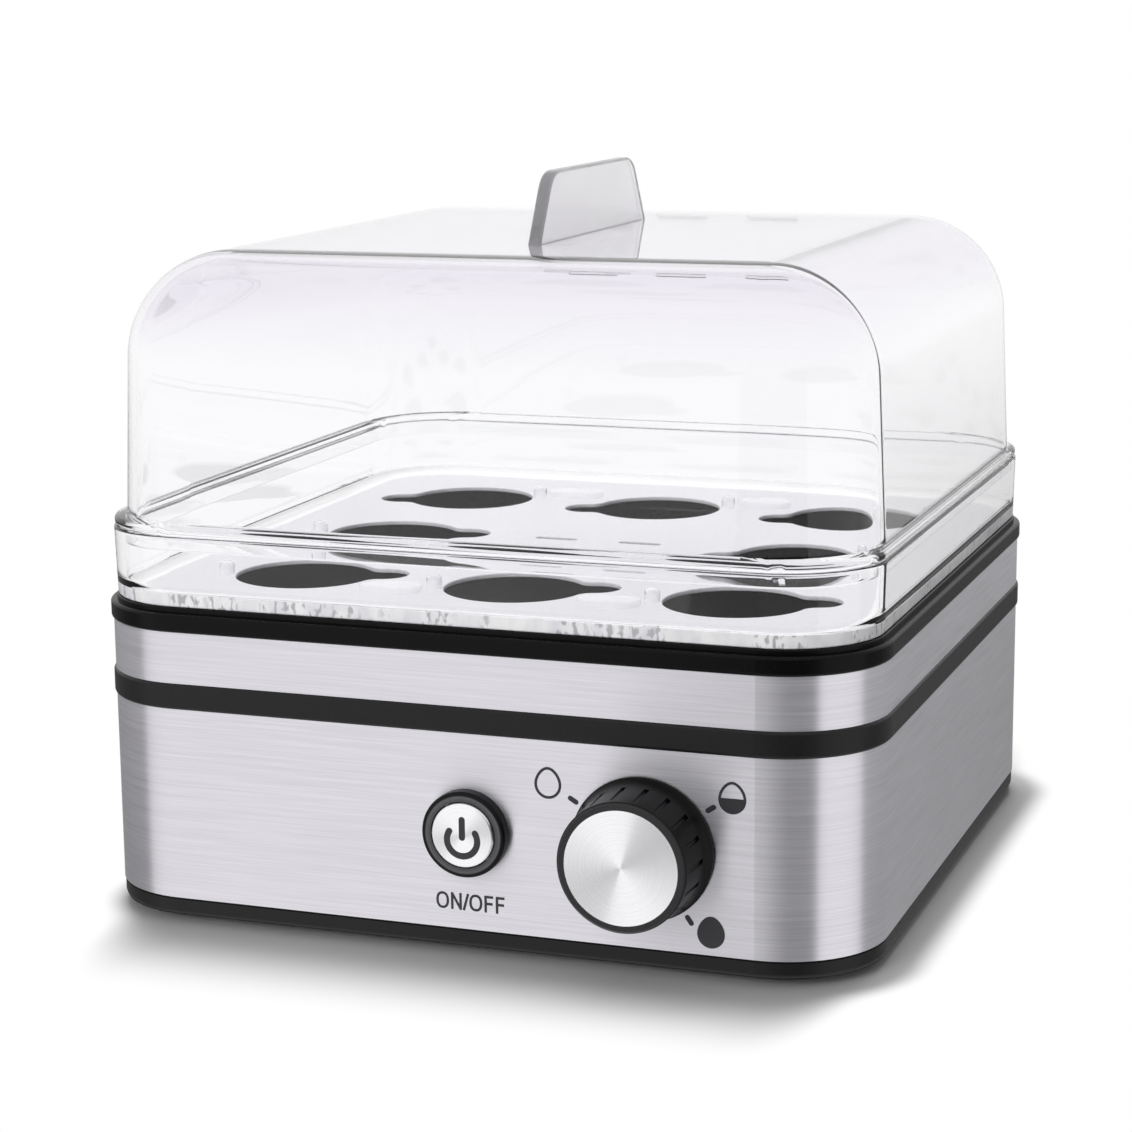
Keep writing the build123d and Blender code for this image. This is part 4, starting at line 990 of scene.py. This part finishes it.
def reflectorCard(name, start, end, grey, high):
    # a piece of an upright cylinder: an arc in plan, carried from its low edge to its high edge
    turn = np.linspace(start, end, cardForm["columns"])
    low, top = np.full_like(turn, cardForm["low"]), np.full_like(turn, high)
    if name == "cameraCard":
        top = wedgeTop(turn, start, high)
    x = cardForm["radius"] * np.sin(np.radians(turn))
    y = -cardForm["radius"] * np.cos(np.radians(turn))
    points = np.stack([np.stack([x, x]), np.stack([y, y]), np.stack([low, top])], -1)
    material, tree = newMaterial(name)
    place = addNode(tree, "TexCoord", output="Object")
    rise = addNode(tree, "SeparateXYZ", {0: place}, "Z")
    # the low part is a little paler
    ends = {"From Min": cardForm["paleFrom"], "From Max": cardForm["paleTo"],
            "To Min": grey * cardForm["lift"], "To Max": grey}
    ground = addNode(tree, "MapRange", {"Value": rise, **ends})
    if name == "cameraCard":
        ground = wedgeTone(tree, place, start, ground)
    fade = addNode(tree, "MapRange", {"Value": rise, "From Min": high - cardForm["fade"], "From Max": high},
                   interpolation_type="SMOOTHSTEP")
    tone = addNode(tree, "Mix", {"Factor": fade, "A": ground, "B": 1.0})
    glow = addNode(tree, "Emission", {"Color": plainWhite, "Strength": tone})
    addNode(tree, "OutputMaterial", {"Surface": glow})
    card = newPiece(name, points, bandFaces(cardForm["columns"], False), material)
    for kind in ("camera", "diffuse", "transmission", "shadow", "volume_scatter"):
        setattr(card, "visible_" + kind, False)


for cardName, card in cards.items():
    reflectorCard(cardName, **card)

# Light: a white room, a broad soft lamp above and behind, and a low one in front for the upright faces, both
# aimed at the body's middle; watts and metres
roomForm = {"ambient": 0.36, "aimLevel": 0.07}
lamps = {"topLamp": {"power": 13.0, "size": 0.8, "place": (-0.12, 0.45, 1.25)},
         "sideLamp": {"power": 9.0, "size": 0.7, "place": (-0.45, -1.3, 0.42)}}


def whiteRoom():
    world = bpy.data.worlds.new("whiteRoom")
    bpy.context.scene.world = world
    tree = emptyTree(world)
    strength = addNode(tree, "Mix", {"Factor": seenDirectly(tree), "A": roomForm["ambient"], "B": 1.0})
    light = addNode(tree, "Background", {"Strength": strength, "Color": plainWhite})
    addNode(tree, "OutputWorld", {"Surface": light})


def softLamp(name, power, size, place):
    lamp = bpy.data.lights.new(name, "AREA")
    lamp.energy = power
    lamp.size = size
    holder = addObject(name, lamp)
    holder.location = place
    aim = Vector((0, centreY, roomForm["aimLevel"])) - Vector(place)
    holder.rotation_euler = aim.to_track_quat("-Z", "Y").to_euler()
    holder.visible_glossy = False  # gloss and clear walls show the room itself, with no hard lamp outline
    holder.visible_transmission = False


whiteRoom()
for lampName, lampForm in lamps.items():
    softLamp(lampName, **lampForm)

# Camera at the photograph's place: angles in degrees, sizes in mm, near and far limits in metres
cameraForm = {"yaw": 19.91, "pitch": 11.55, "roll": -0.58, "distance": 703.9, "target": (-6.94, 6.35, 69.74),
              "lens": 89.68, "sensor": 36.0, "near": 0.01, "far": 20.0}


def setCamera():
    form = cameraForm
    yaw, pitch, roll = (radians(form[key]) for key in ("yaw", "pitch", "roll"))
    back = Vector((sin(yaw) * cos(pitch), -cos(yaw) * cos(pitch), sin(pitch)))
    right = Vector((0, 0, 1)).cross(back).normalized()
    up = back.cross(right)
    turnedRight = cos(roll) * right + sin(roll) * up
    turnedUp = cos(roll) * up - sin(roll) * right
    place = (Vector(form["target"]) + back * form["distance"]) * mm
    data = bpy.data.cameras.new("camera")
    data.lens = form["lens"]
    data.sensor_width = form["sensor"]
    data.clip_start = form["near"]
    data.clip_end = form["far"]
    camera = addObject("camera", data)
    camera.matrix_world = Matrix((turnedRight, turnedUp, back)).transposed().to_4x4()
    camera.location = place
    bpy.context.scene.camera = camera


setCamera()
bpy.context.scene.view_settings.view_transform = "Standard"
print("room, lamps and camera set")
